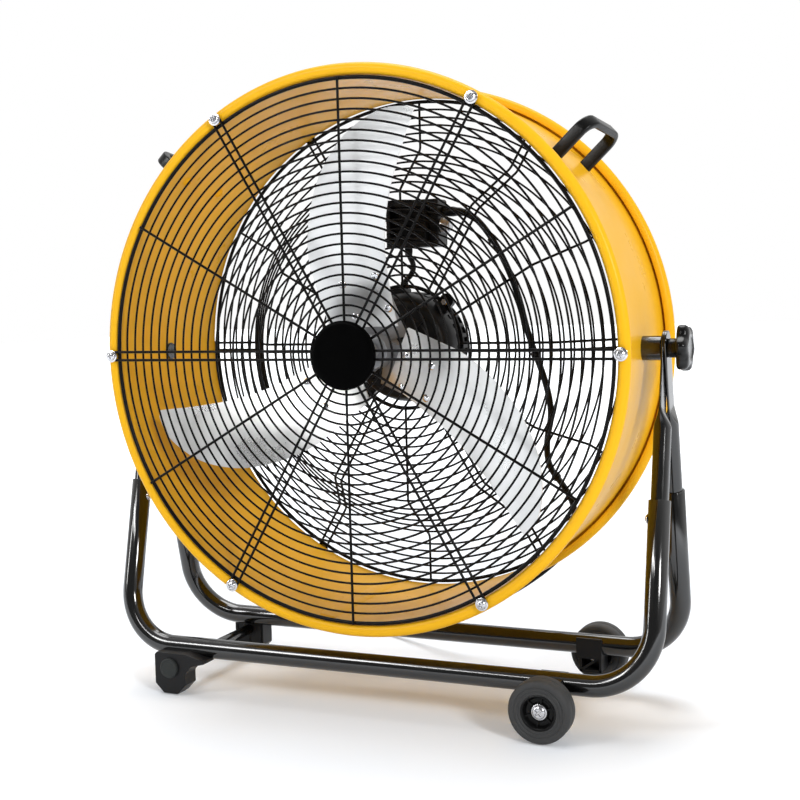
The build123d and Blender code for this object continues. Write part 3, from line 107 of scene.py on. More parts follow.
def ranged(tree, value, from_low, from_high, low, high):
    """A value carried from one range to another."""
    node = tree.nodes.new("ShaderNodeMapRange")
    sockets = ("From Min", "From Max", "To Min", "To Max")
    for socket, number in zip(sockets, (from_low, from_high, low, high)):
        node.inputs[socket].default_value = number
    tree.links.new(value, node.inputs["Value"])
    return node.outputs["Result"]


def joined(tree, operation, first, second):
    """Result of an operation on two values."""
    node = tree.nodes.new("ShaderNodeMath")
    node.operation = operation
    tree.links.new(first, node.inputs[0])
    tree.links.new(second, node.inputs[1])
    return node.outputs["Value"]


def look(
    name, colour, rough, metal=0.0, ior=1.5, vary=0.08, patch=14.0, grain=700.0,
    bump=0.05, spread=0.08, wear=0.0, wear_colour=None, dust=0.0,
):
    """Painted, moulded or metal surface: uneven colour, uneven gloss, fine grain, worn edges."""
    made = bpy.data.materials.new(name)
    made.use_nodes = True
    tree = made.node_tree
    nodes, links = tree.nodes, tree.links
    colour = srgb(*colour)
    shader = nodes["Principled BSDF"]
    shader.inputs["Metallic"].default_value = metal
    shader.inputs["IOR"].default_value = ior
    place = nodes.new("ShaderNodeTexCoord")

    def noise(scale, detail, rough_share=0.5):
        node = nodes.new("ShaderNodeTexNoise")
        node.inputs["Scale"].default_value = scale
        node.inputs["Detail"].default_value = detail
        node.inputs["Roughness"].default_value = rough_share
        links.new(place.outputs["Object"], node.inputs["Vector"])
        return node.outputs["Fac"]

    def mix(factor, first, second):
        node = nodes.new("ShaderNodeMix")
        node.data_type = "RGBA"
        links.new(factor, node.inputs["Factor"])
        for socket, value in (("A", first), ("B", second)):
            target = [s for s in node.inputs if s.name == socket and s.type == "RGBA"][0]
            if isinstance(value, tuple):
                target.default_value = value
            else:
                links.new(value, target)
        return [s for s in node.outputs if s.type == "RGBA"][0]

    broad = ranged(tree, noise(patch, 4.0), 0.3, 0.7, 0.0, 1.0)
    tint = mix(broad, shade(colour, 1 - vary), shade(colour, 1 + vary))
    speck = ranged(tree, noise(grain * 0.35, 3.0), 0.3, 0.7, 0.0, 1.0)
    tint = mix(ranged(tree, speck, 0.0, 1.0, 0.0, 0.35), tint, shade(colour, 1 - 1.4 * vary))
    gloss = ranged(tree, noise(patch * 3, 5.0, 0.6), 0.3, 0.7, rough - spread / 2, rough + spread)
    if wear:
        soft = nodes.new("ShaderNodeBevel")
        soft.samples = 4
        soft.inputs["Radius"].default_value = 0.0012
        flat = nodes.new("ShaderNodeNewGeometry")
        dot = nodes.new("ShaderNodeVectorMath")
        dot.operation = "DOT_PRODUCT"
        links.new(soft.outputs["Normal"], dot.inputs[0])
        links.new(flat.outputs["Normal"], dot.inputs[1])
        edge = ranged(tree, dot.outputs["Value"], 0.82, 0.99, wear, 0.0)
        chips = ranged(tree, noise(160.0, 4.0), 0.42, 0.62, 0.0, 1.0)
        bare = srgb(*wear_colour) if wear_colour else shade(colour, 2.2)
        tint = mix(joined(tree, "MULTIPLY", edge, chips), tint, bare)
    if dust:
        normal = nodes.new("ShaderNodeNewGeometry")
        upward = nodes.new("ShaderNodeSeparateXYZ")
        links.new(normal.outputs["Normal"], upward.inputs["Vector"])
        lying = ranged(tree, upward.outputs["Z"], 0.2, 1.0, 0.0, dust)
        settled = ranged(tree, noise(45.0, 6.0, 0.7), 0.4, 0.65, 0.0, 1.0)
        tint = mix(joined(tree, "MULTIPLY", lying, settled), tint, srgb(150, 145, 136))
    links.new(tint, shader.inputs["Base Color"])
    links.new(gloss, shader.inputs["Roughness"])
    raised = nodes.new("ShaderNodeBump")
    raised.inputs["Strength"].default_value = bump
    raised.inputs["Distance"].default_value = 0.0004
    links.new(noise(grain, 3.0), raised.inputs["Height"])
    links.new(raised.outputs["Normal"], shader.inputs["Normal"])
    return made


# Each finish: colour, roughness, then what differs from a plain surface.
FINISHES = {
    "drum_yellow": (
        (243, 182, 30), 0.3,
        dict(ior=1.2, vary=0.035, patch=6.0, grain=420.0, bump=0.04, wear=0.25, wear_colour=(214, 156, 40)),
    ),
    "tube_black": ((6, 6, 6), 0.12, dict(ior=1.7, grain=380.0, bump=0.004, spread=0.04, dust=0.02)),
    "guard_black": ((7, 6, 6), 0.3, dict(ior=1.2, grain=800.0, bump=0.03, wear=0.15)),
    "disc_black": ((2, 2, 2), 0.36, dict(ior=1.08, grain=900.0, vary=0.12)),
    "plastic_black": ((20, 20, 21), 0.38, dict(ior=1.3, grain=1400.0, bump=0.1, wear=0.25, dust=0.04)),
    "hub_black": ((8, 8, 8), 0.3, dict(ior=1.28, grain=1200.0, bump=0.06, wear=0.15)),
    "tyre_grey": (
        (62, 62, 62), 0.6,
        dict(ior=1.3, grain=1500.0, bump=0.14, vary=0.1, wear=0.2, wear_colour=(86, 86, 86), dust=0.05),
    ),
    "rubber_black": ((20, 20, 20), 0.7, dict(ior=1.3, grain=1500.0, bump=0.2, vary=0.14)),
    "cord_black": ((9, 9, 9), 0.4, dict(ior=1.3, grain=1100.0, bump=0.06, vary=0.12)),
    "screw_steel": (
        (200, 200, 203), 0.22,
        dict(metal=1.0, grain=1600.0, bump=0.06, vary=0.1, wear=0.3, wear_colour=(235, 235, 236)),
    ),
    "spacer_black": ((6, 6, 6), 0.14, dict(ior=1.7, grain=500.0, bump=0.004, spread=0.04)),
    "blade_silver": (
        (236, 236, 235), 0.29, dict(metal=0.85, grain=520.0, bump=0.02, vary=0.04, patch=5.0),
    ),
    "hub_steel": ((140, 141, 143), 0.38, dict(metal=0.35, bump=0.06)),
    "motor_black": ((14, 14, 15), 0.42, dict(ior=1.26, grain=600.0, bump=0.14, vary=0.14, wear=0.25)),
    "core_steel": ((120, 121, 124), 0.45, dict(metal=1.0, grain=900.0, bump=0.1)),
    "knob_silver": ((196, 197, 200), 0.3, dict(metal=1.0, grain=1300.0, vary=0.06, bump=0.08)),
    "foot_cap": ((44, 47, 46), 0.5, dict(ior=1.3, grain=1400.0, bump=0.12, wear=0.2)),
    "knob_gloss": ((10, 10, 11), 0.2, dict(ior=1.36, grain=900.0, wear=0.2)),
    "rivet_bright": ((226, 226, 228), 0.2, dict(metal=1.0, grain=1500.0, vary=0.06)),
}
LOOKS = {name: look(name, colour, rough, **rest) for name, (colour, rough, rest) in FINISHES.items()}


# ---- mesh building ----
def across(axis):
    """An axis and two directions square to it."""
    along = Vector(axis).normalized()
    side = Vector(Z) if abs(along.z) < 0.9 else Vector(Y)
    first = side.cross(along).normalized()
    return along, first, along.cross(first)


def circle(sides):
    """Cosine and sine of evenly spaced turns."""
    turns = [2 * math.pi * k / sides for k in range(sides)]
    return [(math.cos(turn), math.sin(turn)) for turn in turns]


def soft_square(sides, power):
    """Outline between a circle, at power 1, and a square, near 0."""
    return [tuple(math.copysign(abs(v) ** power, v) for v in pair) for pair in circle(sides)]


def corner_arc(before, corner, after, radius, steps):
    """Points round one corner, or the corner itself where the line hardly turns."""
    arriving, leaving = (corner - before).normalized(), (after - corner).normalized()
    half = arriving.angle(leaving) / 2
    if half < 1e-4:
        return [corner]
    back = radius * math.tan(half)
    start, end = corner - arriving * back, corner + leaving * back
    middle = corner + (leaving - arriving).normalized() * (radius / math.cos(half))
    points = []
    for step in range(steps + 1):
        turn = 2 * half * step / steps
        a = math.sin(2 * half - turn) / math.sin(2 * half)
        b = math.sin(turn) / math.sin(2 * half)
        points.append(middle + (start - middle) * a + (end - middle) * b)
    return points


def bent(points, radius, steps):
    """Centre line of a bent tube, wire or strap: straight runs joined by arcs."""
    points = [Vector(p) for p in points]
    line = [points[0]]
    for before, corner, after in zip(points, points[1:], points[2:]):
        line += corner_arc(before, corner, after, radius, steps)
    return line + [points[-1]]


def rounded(points, radius, steps):
    """Closed flat outline with its corners rounded."""
    points = [Vector(p) for p in points]
    count = len(points)
    radii = radius if isinstance(radius, (list, tuple)) else [radius] * count
    out = []
    for index, (corner, r) in enumerate(zip(points, radii)):
        before, after = points[index - 1], points[(index + 1) % count]
        out += corner_arc(before, corner, after, r, steps) if r > 0 else [corner]
    return [tuple(p) for p in out]


def box(left, low, right, high):
    """Corners of a flat rectangle."""
    return [(left, low), (right, low), (right, high), (left, high)]


def plane(origin, u, v):
    """Map of flat (x, y, height) to space."""
    origin, u, v = Vector(origin), Vector(u).normalized(), Vector(v).normalized()
    w = u.cross(v)
    return lambda x, y, z=0.0: origin + u * x + v * y + w * z


class Form:
    """Points and faces of one piece, added shape by shape."""

    def __init__(self):
        self.points = []
        self.faces = []

    def grid(self, rows, wrap=False, loop=False, caps=False):
        base, width, count = len(self.points), len(rows[0]), len(rows)
        for row in rows:
            self.points.extend(Vector(p) for p in row)
        for i in range(count if loop else count - 1):
            for j in range(width if wrap else width - 1):
                near, far = base + i * width, base + (i + 1) % count * width
                k = (j + 1) % width
                self.faces.append((near + j, near + k, far + k, far + j))
        if caps:
            self.faces.append(tuple(base + j for j in range(width)))
            self.faces.append(tuple(base + (count - 1) * width + j for j in range(width)))
        return self

    def bar(self, rows):
        """Closed solid through sections of equal count."""
        return self.grid(rows, wrap=True, caps=True)

    def lathe(self, profile, centre, axis, sides=48, loop=False, shape=None):
        """Profile of (along the axis, radius); shape(turn, radius) may make it other than round."""
        along, first, second = across(axis)
        rows = []
        for a, r in profile:
            row = []
            for k in range(sides):
                turn = 2 * math.pi * k / sides
                reach = shape(turn, r) if shape else r
                spoke = first * math.cos(turn) + second * math.sin(turn)
                row.append(Vector(centre) + along * a + spoke * reach)
            rows.append(row)
        return self.grid(rows, wrap=True, loop=loop, caps=not loop)

    def tube(self, path, radius, sides=10, closed=False, up=None):
        """Round wire along a path, without twist."""
        path = [Vector(p) for p in path]
        last = len(path) - 1
        radii = radius if isinstance(radius, (list, tuple)) else [radius] * len(path)
        rows, normal = [], None
        for index, spot in enumerate(path):
            ahead = path[(index + 1) % len(path) if closed else min(index + 1, last)]
            behind = path[index - 1 if closed else max(index - 1, 0)]
            tangent = (ahead - behind).normalized()
            if up is not None:
                normal = Vector(up)
            elif normal is None:
                normal = across(tangent)[1]
            normal = (normal - tangent * normal.dot(tangent)).normalized()
            other = tangent.cross(normal)
            rows.append([spot + (normal * x + other * y) * radii[index] for x, y in circle(sides)])
        return self.grid(rows, wrap=True, loop=closed, caps=not closed)

    def prism(self, outline, place, low, high):
        return self.bar([[place(p[0], p[1], h) for p in outline] for h in (low, high)])

    def block(self, low, high):
        return self.prism(box(*low[:2], *high[:2]), plane((0, 0, 0), X, Y), low[2], high[2])

    def screw(self, centre, axis, radius, height, turn, sides=40):
        """Pan head with a cross recess; centre lies on the seat."""
        along, first, second = across(axis)
        arm, deep = 0.13 * radius, 0.5 * height
        rows = []
        stations = [(0.0, 0.94), (0.0, 0.99), (0.35, 1.0), (0.52, 0.96), (0.7, 0.86), (0.82, 0.75)]
        crown = (0.64, 0.6, 0.5, 0.4, 0.3, 0.22, 0.16, 0.1, 0.02)
        stations += [(0.88 + 0.12 * (1 - f * f), f) for f in crown]
        for rise, share in stations:
            row = []
            for c, s in circle(sides):
                x, y = share * radius * c, share * radius * s
                inside = share <= 0.61 and (abs(x) < arm or abs(y) < arm)
                lift = height * rise - (deep if inside else 0.0)
                tx = x * math.cos(turn) - y * math.sin(turn)
                ty = x * math.sin(turn) + y * math.cos(turn)
                row.append(Vector(centre) + along * lift + first * tx + second * ty)
            rows.append(row)
        return self.bar(rows)

    def dome(self, centre, axis, radius, height):
        """Low round head, as on a rivet."""
        profile = [(0.0, radius * 0.98), (height * 0.12, radius)]
        for step in range(1, 7):
            turn = math.pi / 2 * step / 6
            reach = max(radius * math.cos(turn), 0.02)
            profile.append((height * (0.12 + 0.88 * math.sin(turn)), reach))
        return self.lathe(profile, centre, axis, 24)


def add(name, form, body, slot, *nodes, bevel=0.0, angle=38.0, finish=None):
    """Object from a form: rides on its body, stands for its CAD nodes, takes its slot's look."""
    mesh = bpy.data.meshes.new(name)
    mesh.from_pydata([tuple(p * MM) for p in form.points], [], form.faces)
    work = bmesh.new()
    work.from_mesh(mesh)
    bmesh.ops.remove_doubles(work, verts=work.verts, dist=1e-7)
    bmesh.ops.recalc_face_normals(work, faces=work.faces)
    for face in work.faces:
        face.smooth = True
    work.to_mesh(mesh)
    work.free()
    made = bpy.data.objects.new(name, mesh)
    bpy.context.scene.collection.objects.link(made)
    mesh.materials.append(LOOKS[finish or slot])
    if bevel:
        edges = made.modifiers.new("edges", "BEVEL")
        edges.width = bevel * MM
        edges.segments = 2
        edges.limit_method = "ANGLE"
        edges.angle_limit = math.radians(angle)
        edges.harden_normals = True
    else:
        mesh.set_sharp_from_angle(angle=math.radians(angle))
    if nodes:
        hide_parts(*nodes)
    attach(made, body)
    return made


# ---- cord ----
cord_guard_points = [
    (46, 82, 598), (68, 82, 598), (90, 67, 591), (110, 57.5, 574), (130, 56.6, 543),
    (150, 56.6, 497), (163, 56.6, 441), (183.5, 58, 388), (188, 70.5, 344), (177, 78.5, 311),
    (171.5, 102, 274), (184, 126.6, 247), (197, 126.6, 224),
]
cord_drop_points = [
    (198, 126.6, 203), (198.9, 126.6, 184), (186, 128.6, 163), (164, 132, 141), (136, 136, 119),
    (104, 141, 98), (68, 151, 78), (28, 165, 58), (-16, 184, 38), (-62, 208, 19),
    (-106, 232, 7.5), (-148, 245, 4.1), (-190, 245, 4.1),
]
motor_lead_points = [
    (-2, 78, 554), (-2, 78, 544), (5, 78, 533), (2, 78, 520), (-9, 78, 512), (-9, 78, 503),
]
COIL = Vector((-198, 325, 0))
COIL_FLOOR, COIL_UPPER = 4.1, 12.9  # heights of the two layers
COIL_OUTER, COIL_INNER = 80.0, 69.5
COIL_TURNS, COIL_PER_TURN = 2.5, 14
CONTROL_SHARE = 1.012  # control points lie a little outside the line they make
PLUG_AT = Vector((-150, 405, COIL_UPPER))


def eased(share):
    return share * share * (3 - 2 * share)


def coil_points():
    """Turns wound inwards on the floor, half a turn that climbs, then outwards on top."""
    points = []
    for index in range(1, int(COIL_TURNS * COIL_PER_TURN) + 1):
        turns = index / COIL_PER_TURN
        inwards = min(turns, 1.0) - max(turns - 1.5, 0.0)
        climb = eased(min(max(2 * (turns - 1), 0.0), 1.0))
        radius = (COIL_OUTER - (COIL_OUTER - COIL_INNER) * inwards) * CONTROL_SHARE
        turn = -math.pi / 2 - 2 * math.pi * turns
        height = COIL_FLOOR + (COIL_UPPER - COIL_FLOOR) * climb
        points.append(COIL + Vector((radius * math.cos(turn), radius * math.sin(turn), height)))
    return points + [PLUG_AT - Vector((24, 0, 0)), PLUG_AT]


def spline_line(points):
    """Points along one open NURBS spline whose control points are given."""
    curve = bpy.data.curves.new("route", "CURVE")
    curve.dimensions = "3D"
    curve.resolution_u = 6
    spline = curve.splines.new("NURBS")
    spline.points.add(len(points) - 1)
    for target, point in zip(spline.points, points):
        target.co = (*(Vector(point) * MM), 1.0)
    spline.order_u = 3
    spline.use_endpoint_u = True
    carrier = bpy.data.objects.new("route", curve)
    bpy.context.scene.collection.objects.link(carrier)
    mesh = bpy.data.meshes.new_from_object(carrier)
    line = [v.co.copy() for v in mesh.vertices]
    bpy.data.objects.remove(carrier)
    bpy.data.curves.remove(curve)
    bpy.data.meshes.remove(mesh)
    return [p / MM for p in line]


def stretch_of(line, start, end):
    """The part of a line between two distances along it."""
    part, gone = [], 0.0
    for a, b in zip(line, line[1:]):
        if start <= gone <= end:
            part.append(a)
        gone += (b - a).length
    return part


def make_plug():
    """Moulded plug lying beside the coil, with a ribbed relief where the cord enters."""
    stations = [
        (0, 0.30, 0.34), (2, 0.36, 0.40), (7, 0.40, 0.44), (12, 0.50, 0.56), (18, 0.82, 0.84),
        (20, 0.92, 0.92), (23, 0.97, 0.97), (32, 0.97, 0.97), (34.6, 0.94, 0.93), (36, 0.88, 0.86),
    ]
    outline = soft_square(40, 0.62)
    rows = []
    for along, wide, high in stations:
        rows.append([PLUG_AT + Vector((along, 14 * wide * y, 12.7 * high * z)) for y, z in outline])
    form = Form().bar(rows)
    for at in (3.5, 6.5, 9.5):
        rib = [(at - 0.8, 4.2), (at - 0.8, 6.4), (at + 0.8, 6.6), (at + 0.8, 4.2)]
        form.lathe(rib, PLUG_AT, X, 28)
    plug = add("plug", form, "stand", "cord_black", "plug_body", angle=42)
    form = Form()
    pin = [(0, 2.36), (16.4, 2.36), (18, 2.0), (18.8, 1.2), (19, 0.3)]
    for side in SIDES:
        form.lathe(pin, PLUG_AT + Vector((36, side * 9.5, 0)), X, 24)
    pins = add("pins", form, "stand", "screw_steel", "plug_pins")
    return plug, pins


def make_cords():
    route = cord_guard_points + cord_drop_points + coil_points()
    line = spline_line(route)
    form = Form().tube(line, 4.0, 16)
    plug, pins = make_plug()
    nodes = ("cord_guard_run", "cord_drop", "cord_coil")
    cord = add("cord", form, "stand", "cord_black", *nodes, angle=60)
    cord.parent = None
    del cord["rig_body"]
    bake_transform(cord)
    relief = stretch_of(line, 6.0, 36.0)
    radii = []
    for index in range(len(relief)):
        share = index / (len(relief) - 1)
        radii.append(6.4 - 2.1 * share + (0.35 if index % 2 else -0.1))
    add("cord_relief", Form().tube(relief, radii, 20), "head", "cord_black", angle=60)
    lead = spline_line(motor_lead_points)
    form = Form().tube(lead, 3.5, 14)
    add("motor_lead_sleeve", form, "head", "cord_black", "motor_lead", angle=60)
    form = Form()
    for centre, low, high in ((lead[0], -9.0, 1.5), (lead[-1], -1.5, 8.0)):
        sleeve = [(low, 3.2), (low, 4.6), ((low + high) / 2, 5.2), (high, 4.8), (high, 3.2)]
        form.lathe(sleeve, centre, Z, 20)
    add("motor_lead_grommets", form, "head", "rubber_black")
    return line


cord_line = make_cords()


# ---- stand ----
TUBE_Y, TUBE_Z, TUBE_R = 84.5, 55.5, 12.5  # base tubes: from the middle, above the floor, radius
LEAN = math.atan2(TUBE_Y, AXIS - TUBE_Z)
REACH = math.hypot(TUBE_Y, AXIS - TUBE_Z)
STAND_X = 343.5  # middle of the tubes' upright ends
STRAP_X = 341.0  # inner face of the front uprights' flats; the rear ones lie on them
LEG_R = 10.05
FLAT_END, ROUND_FROM = 66, 92  # drops between which an upright turns from flat to round
SCREW_DROP = 193


def frame_point(side, x, drop):
    """In a leaning frame, drop below the tilt axis along it."""
    return Vector((x, side * drop * math.sin(LEAN), AXIS - drop * math.cos(LEAN)))


def frame_normal(side):
    return Vector((0, math.cos(LEAN), side * math.sin(LEAN)))


def side_block(form, side, x0, x1, y0, y1, z0, z1):
    """Block on one side of the middle plane, which y0 and y1 are measured from."""
    low, high = sorted((side * y0, side * y1))
    form.block((x0, low, z0), (x1, high, z1))


def make_base_tubes():
    socket = [(10.0, 10.15), (0.0, 10.15), (0.02, 12.0), (0.5, TUBE_R)]  # inwards, radius
    for side, name in ((-1, "front_base_tube"), (1, "rear_base_tube")):
        places = ((-STAND_X, 172), (-STAND_X, REACH), (STAND_X, REACH), (STAND_X, 172))
        line = bent([frame_point(side, x, drop) for x, drop in places], 70, 28)
        start, end = (line[1] - line[0]).normalized(), (line[-2] - line[-1]).normalized()
        path = [line[0] + start * a for a, _ in socket] + line[1:-1]
        path += [line[-1] + end * a for a, _ in reversed(socket)]
        radii = [r for _, r in socket] + [TUBE_R] * (len(line) - 2)
        radii += [r for _, r in reversed(socket)]
        normal = frame_normal(side)
        rows = []
        for index, (spot, radius) in enumerate(zip(path, radii)):
            if index < len(socket):
                tangent = start
            elif index >= len(path) - len(socket):
                tangent = -end
            else:
                tangent = (path[index + 1] - path[index - 1]).normalized()
            other = tangent.cross(normal)
            rows.append([spot + (normal * c + other * s) * radius for c, s in circle(36)])
        add(name + "_bent", Form().bar(rows), "stand", "tube_black", name, angle=50)


def make_uprights():
    """Round tube, pressed flat round the tilt bolt."""
    names = {(-1, -1): "front_left", (-1, 1): "front_right", (1, -1): "rear_left", (1, 1): "rear_right"}
    flat, thin = 14.0, 1.5  # half width and half thickness of the flat
    for (side, hand), name in names.items():
        strap_x = hand * (STRAP_X + thin * (1 if side < 0 else 3))
        drops = [flat * math.cos(math.pi * k / 24) for k in range(1, 13)]
        stations = [(-6 - d, math.sqrt(max(flat**2 - d * d, 0.3))) for d in drops if d > 0]
        stations += [(d, flat) for d in (-6, 3, 8, 20, 35, 50, 58, 63, FLAT_END)]
        # Drop, half width, half thickness, middle, squareness.
        sections = [(drop, half, thin, strap_x, 7.0) for drop, half in stations]
        for step in range(1, 13):
            share = step / 12
            ease = eased(share)
            half = flat + (LEG_R - flat) * ease
            thick = thin + (LEG_R - thin) * ease**1.2
            middle = strap_x + (hand * STAND_X - strap_x) * ease
            drop = FLAT_END + (ROUND_FROM - FLAT_END) * share
            sections.append((drop, half, thick, middle, 7.0 - 5.0 * ease**0.6))
        sections += [(d, LEG_R, LEG_R, hand * STAND_X, 2.0) for d in (110, 140, 168, 171, 214)]
        normal = frame_normal(side)
        rows = []
        for drop, half, thick, middle, power in sections:
            outline = soft_square(36, 2 / power)
            rows.append(
                [frame_point(side, middle + b * thick, drop) + normal * (a * half) for a, b in outline]
            )
        add(name + "_leg", Form().bar(rows), "stand", "tube_black", name + "_upright", angle=50)


def make_stand_screws():
    form = Form()
    for side in SIDES:
        for hand in SIDES:
            inward = Vector((-hand, 0, 0))
            seat = frame_point(side, hand * (STAND_X - TUBE_R + 0.2), SCREW_DROP)
            form.lathe([(0, 5.6), (0.5, 5.6), (0.9, 5.2), (0.9, 0.5)], seat, inward, 28)
            form.screw(seat + inward * 0.6, inward, 4.5, 2.2, 0.5)
            form.lathe([(0, 2.0), (8, 2.0)], seat, -inward, 12)
    add("stand_screw_heads", form, "stand", "screw_steel", "stand_screws")


# ---- wheels and feet ----
WHEEL = (229.5, 36.0)  # across, above the floor
WHEEL_Y = 139.0  # outer face, from the middle
TYRE = [
    (1.6, 20.2), (0.4, 20.8), (0.2, 22.2), (1.0, 22.8), (1.0, 24.6), (0.3, 25.2), (0.3, 26.8),
    (0.9, 27.3), (0.9, 28.6), (0.1, 29.2), (0.0, 31.4), (0.7, 33.4), (2.1, 34.9), (4.4, 35.8),
    (7.5, 36.0), (13.0, 36.0), (13.4, 35.5), (14.6, 35.5), (15.0, 36.0), (20.5, 36.0),
    (23.6, 35.8), (25.9, 34.9), (27.3, 33.4), (28.0, 31.4), (27.9, 29.2), (27.1, 28.6),
    (27.1, 27.3), (27.7, 26.8), (27.7, 22.2), (26.4, 20.2), (20.0, 19.8), (8.0, 19.8),
]
WHEEL_HUB = [
    (2.2, 20.3), (0.9, 20.2), (0.5, 19.4), (0.7, 18.4), (1.6, 17.6), (5.6, 16.6), (7.3, 15.4),
    (7.9, 13.6), (8.0, 11.2), (7.2, 10.2), (5.6, 9.8), (5.2, 9.0), (5.2, 4.1), (28.0, 4.1),
    (28.0, 9.6), (20.4, 10.0), (20.0, 12.0), (20.2, 15.6), (22.0, 16.8), (27.0, 17.6),
    (27.6, 18.6), (27.0, 20.2),
]


def make_wheels():
    for side, name in ((-1, "front"), (1, "rear")):
        centre = Vector((WHEEL[0], side * WHEEL_Y, WHEEL[1]))
        inward, body = Vector((0, -side, 0)), name + "_wheel"
        form = Form().lathe(TYRE, centre, inward, 96, loop=True)
        add(name + "_tyre_moulded", form, body, "tyre_grey", name + "_tyre", angle=34)
        form = Form().lathe(WHEEL_HUB, centre, inward, 72, loop=True)
        for k in range(6):
            turn = math.pi * k / 3 + 0.35
            out = Vector((math.cos(turn), 0, math.sin(turn)))
            flat = Vector((-math.sin(turn), 0, math.cos(turn)))
            rows = []
            for reach, rise in ((9.6, 2.9), (13.0, 2.0), (16.9, 3.2)):
                foot = centre + inward * 8.2 + out * reach
                crest = foot - inward * rise
                rows.append([foot - flat * 1.1, crest - flat * 0.8, crest + flat * 0.8, foot + flat * 1.1])
            form.bar(rows)
        add(name + "_hub_moulded", form, body, "hub_black", name + "_wheel_hub", angle=34)
    form = Form()
    for side in SIDES:
        outward = Vector((0, side, 0))
        seat = Vector((WHEEL[0], side * (WHEEL_Y - 5.4), WHEEL[1]))
        form.lathe([(-1.0, 8.4), (0.0, 8.9), (0.6, 8.9), (0.9, 8.5), (0.9, 1)], seat, outward, 40)
        form.screw(seat + outward * 0.9, outward, 7.4, 3.0, 0.75, 48)
        form.lathe([(0, 3.95), (43, 3.95)], seat, -outward, 20)
    add("axle_screw_heads", form, "stand", "screw_steel", "axle_screws")


ARC_START, ARC_END = 36.7, -218.0  # of a saddle round its tube, in degrees


def make_wheel_brackets():
    """Saddles that wrap the base tubes, ribbed below."""
    form = Form()
    x0, x1 = WHEEL[0] - 16, WHEEL[0] + 16
    clear = TUBE_R + 0.1
    for side in SIDES:
        up = plane((0, 0, 0), (0, side, 0), Z)
        section = [(110.5, 40.0), (110.5, 60.5), (108.0, 63.0), (94.3, 63.0)]
        for k in range(20):
            turn = math.radians(ARC_START + k * (ARC_END - ARC_START) / 19)
            section.append((TUBE_Y + clear * math.cos(turn), TUBE_Z + clear * math.sin(turn)))
        section += [(73.6, 65.2), (71.6, 65.2), (70.4, 64.0), (70.4, 40.0)]
        form.bar([[up(y, z, 0) + Vector((x, 0, 0)) for y, z in section] for x in (x0, x1)])
        side_block(form, side, x0 + 2, x1 - 2, 95.5, 110.5, 21, 40.2)
        side_block(form, side, x0 + 2, x0 + 5, 77.5, 96.0, 21, 40.2)
        side_block(form, side, x1 - 5, x1 - 2, 77.5, 96.0, 21, 40.2)
        side_block(form, side, x0 + 2, x1 - 2, 77.5, 96.0, 21, 24)
        rib = plane((WHEEL[0], 0, 32), (22, 0, 16), (-16, 0, 22))
        low, high = sorted((-side * 77.5, -side * 96.0))
        form.prism(box(-13.4, -1.5, 13.4, 1.5), rib, low + 1.5, high)
    add("wheel_bracket_pair", form, "stand", "plastic_black", "wheel_brackets", bevel=0.9)


FOOT_LEFT, FOOT_RIGHT = -285.0, -241.0
FOOT_BAR = (-263, 34)  # across, above the floor
FOOT_CAP = [
    (-0.5, 12.2), (0.2, 12.5), (2.6, 12.5), (3.5, 12.1), (3.9, 11.2), (3.9, 10.0), (3.5, 9.6), (3.5, 0.5),
]


def make_feet():
    left, right = FOOT_LEFT, FOOT_RIGHT
    front = plane((0, 0, 0), X, Z)  # height runs to the front
    for side, name in ((-1, "front_foot"), (1, "rear_foot")):
        outline = [(left, 13), (left + 12, 1), (right - 12, 1), (right, 13), (right, 28)]
        radii = [1.5, 1.5, 1.5, 1.5, 5.0]
        if side < 0:
            outline += [(right + 9, 37.5), (right + 28, 42.4), (right + 28, 46)]
            radii += [6.0, 0.6, 0.0]
        outline += [(right, 53), (left + 3, 53), (left, 50)]
        radii += [0.0, 0.0, 1.0]
        low, high = sorted((-side * 112.0, -side * 87.0))
        form = Form().prism(rounded(outline, radii, 4), front, low, high)
        boss = [(-1, 10.4), (0.6, 10.4), (1.2, 9.8), (1.2, 7.05), (-1, 7.05)]
        inner = Vector((FOOT_BAR[0], side * 87.2, FOOT_BAR[1]))
        form.lathe(boss, inner, (0, -side, 0), 36, loop=True)
        side_block(form, side, left + 2.5, left + 4.7, 85.6, 87.6, 14, 40)
        side_block(form, side, right - 4.7, right - 2.5, 85.6, 87.6, 14, 40)
        side_block(form, side, FOOT_BAR[0] - 1.1, FOOT_BAR[0] + 1.1, 85.6, 87.6, 6, 25)
        add(name + "_moulded", form, "stand", "plastic_black", name, bevel=0.9)
    form = Form()
    for side in SIDES:
        side_block(form, side, FOOT_BAR[0] - 9, FOOT_BAR[0] + 9, 91, 108, 0.0, 3.0)
        for k in range(5):
            x = FOOT_BAR[0] - 7.2 + k * 3.6
            side_block(form, side, x, x + 1.8, 91.6, 107.4, 0.0, 0.6)
    add("foot_soles", form, "stand", "rubber_black", "foot_pads", bevel=0.4)
    profile = [(-111, 6.6), (-110, 7.0), (110, 7.0), (111, 6.6)]
    bar = Form().lathe(profile, (FOOT_BAR[0], 0, FOOT_BAR[1]), Y, 32)
    add("foot_tie_bar", bar, "stand", "tube_black", "foot_bar")
    form = Form()
    for side in SIDES:
        form.lathe(FOOT_CAP, (FOOT_BAR[0], side * 112, FOOT_BAR[1]), (0, side, 0), 48)
    add("foot_bar_end_caps", form, "stand", "tyre_grey", "foot_bar_caps", finish="foot_cap")


make_base_tubes()
make_uprights()
make_stand_screws()
make_wheels()
make_wheel_brackets()
make_feet()


# ---- drum ----
ROLL_R = 324.2  # middle of the rolled rim's section, from the axis


def rim_arc(side, radius):
    """Section of a rolled rim from the wall over the top and back down."""
    turns = [math.radians(-90 + k * 9.8) for k in range(31)]
    return [
        (side * (RIM - 7.2 + radius * math.cos(turn)), ROLL_R + radius * math.sin(turn)) for turn in turns
    ]


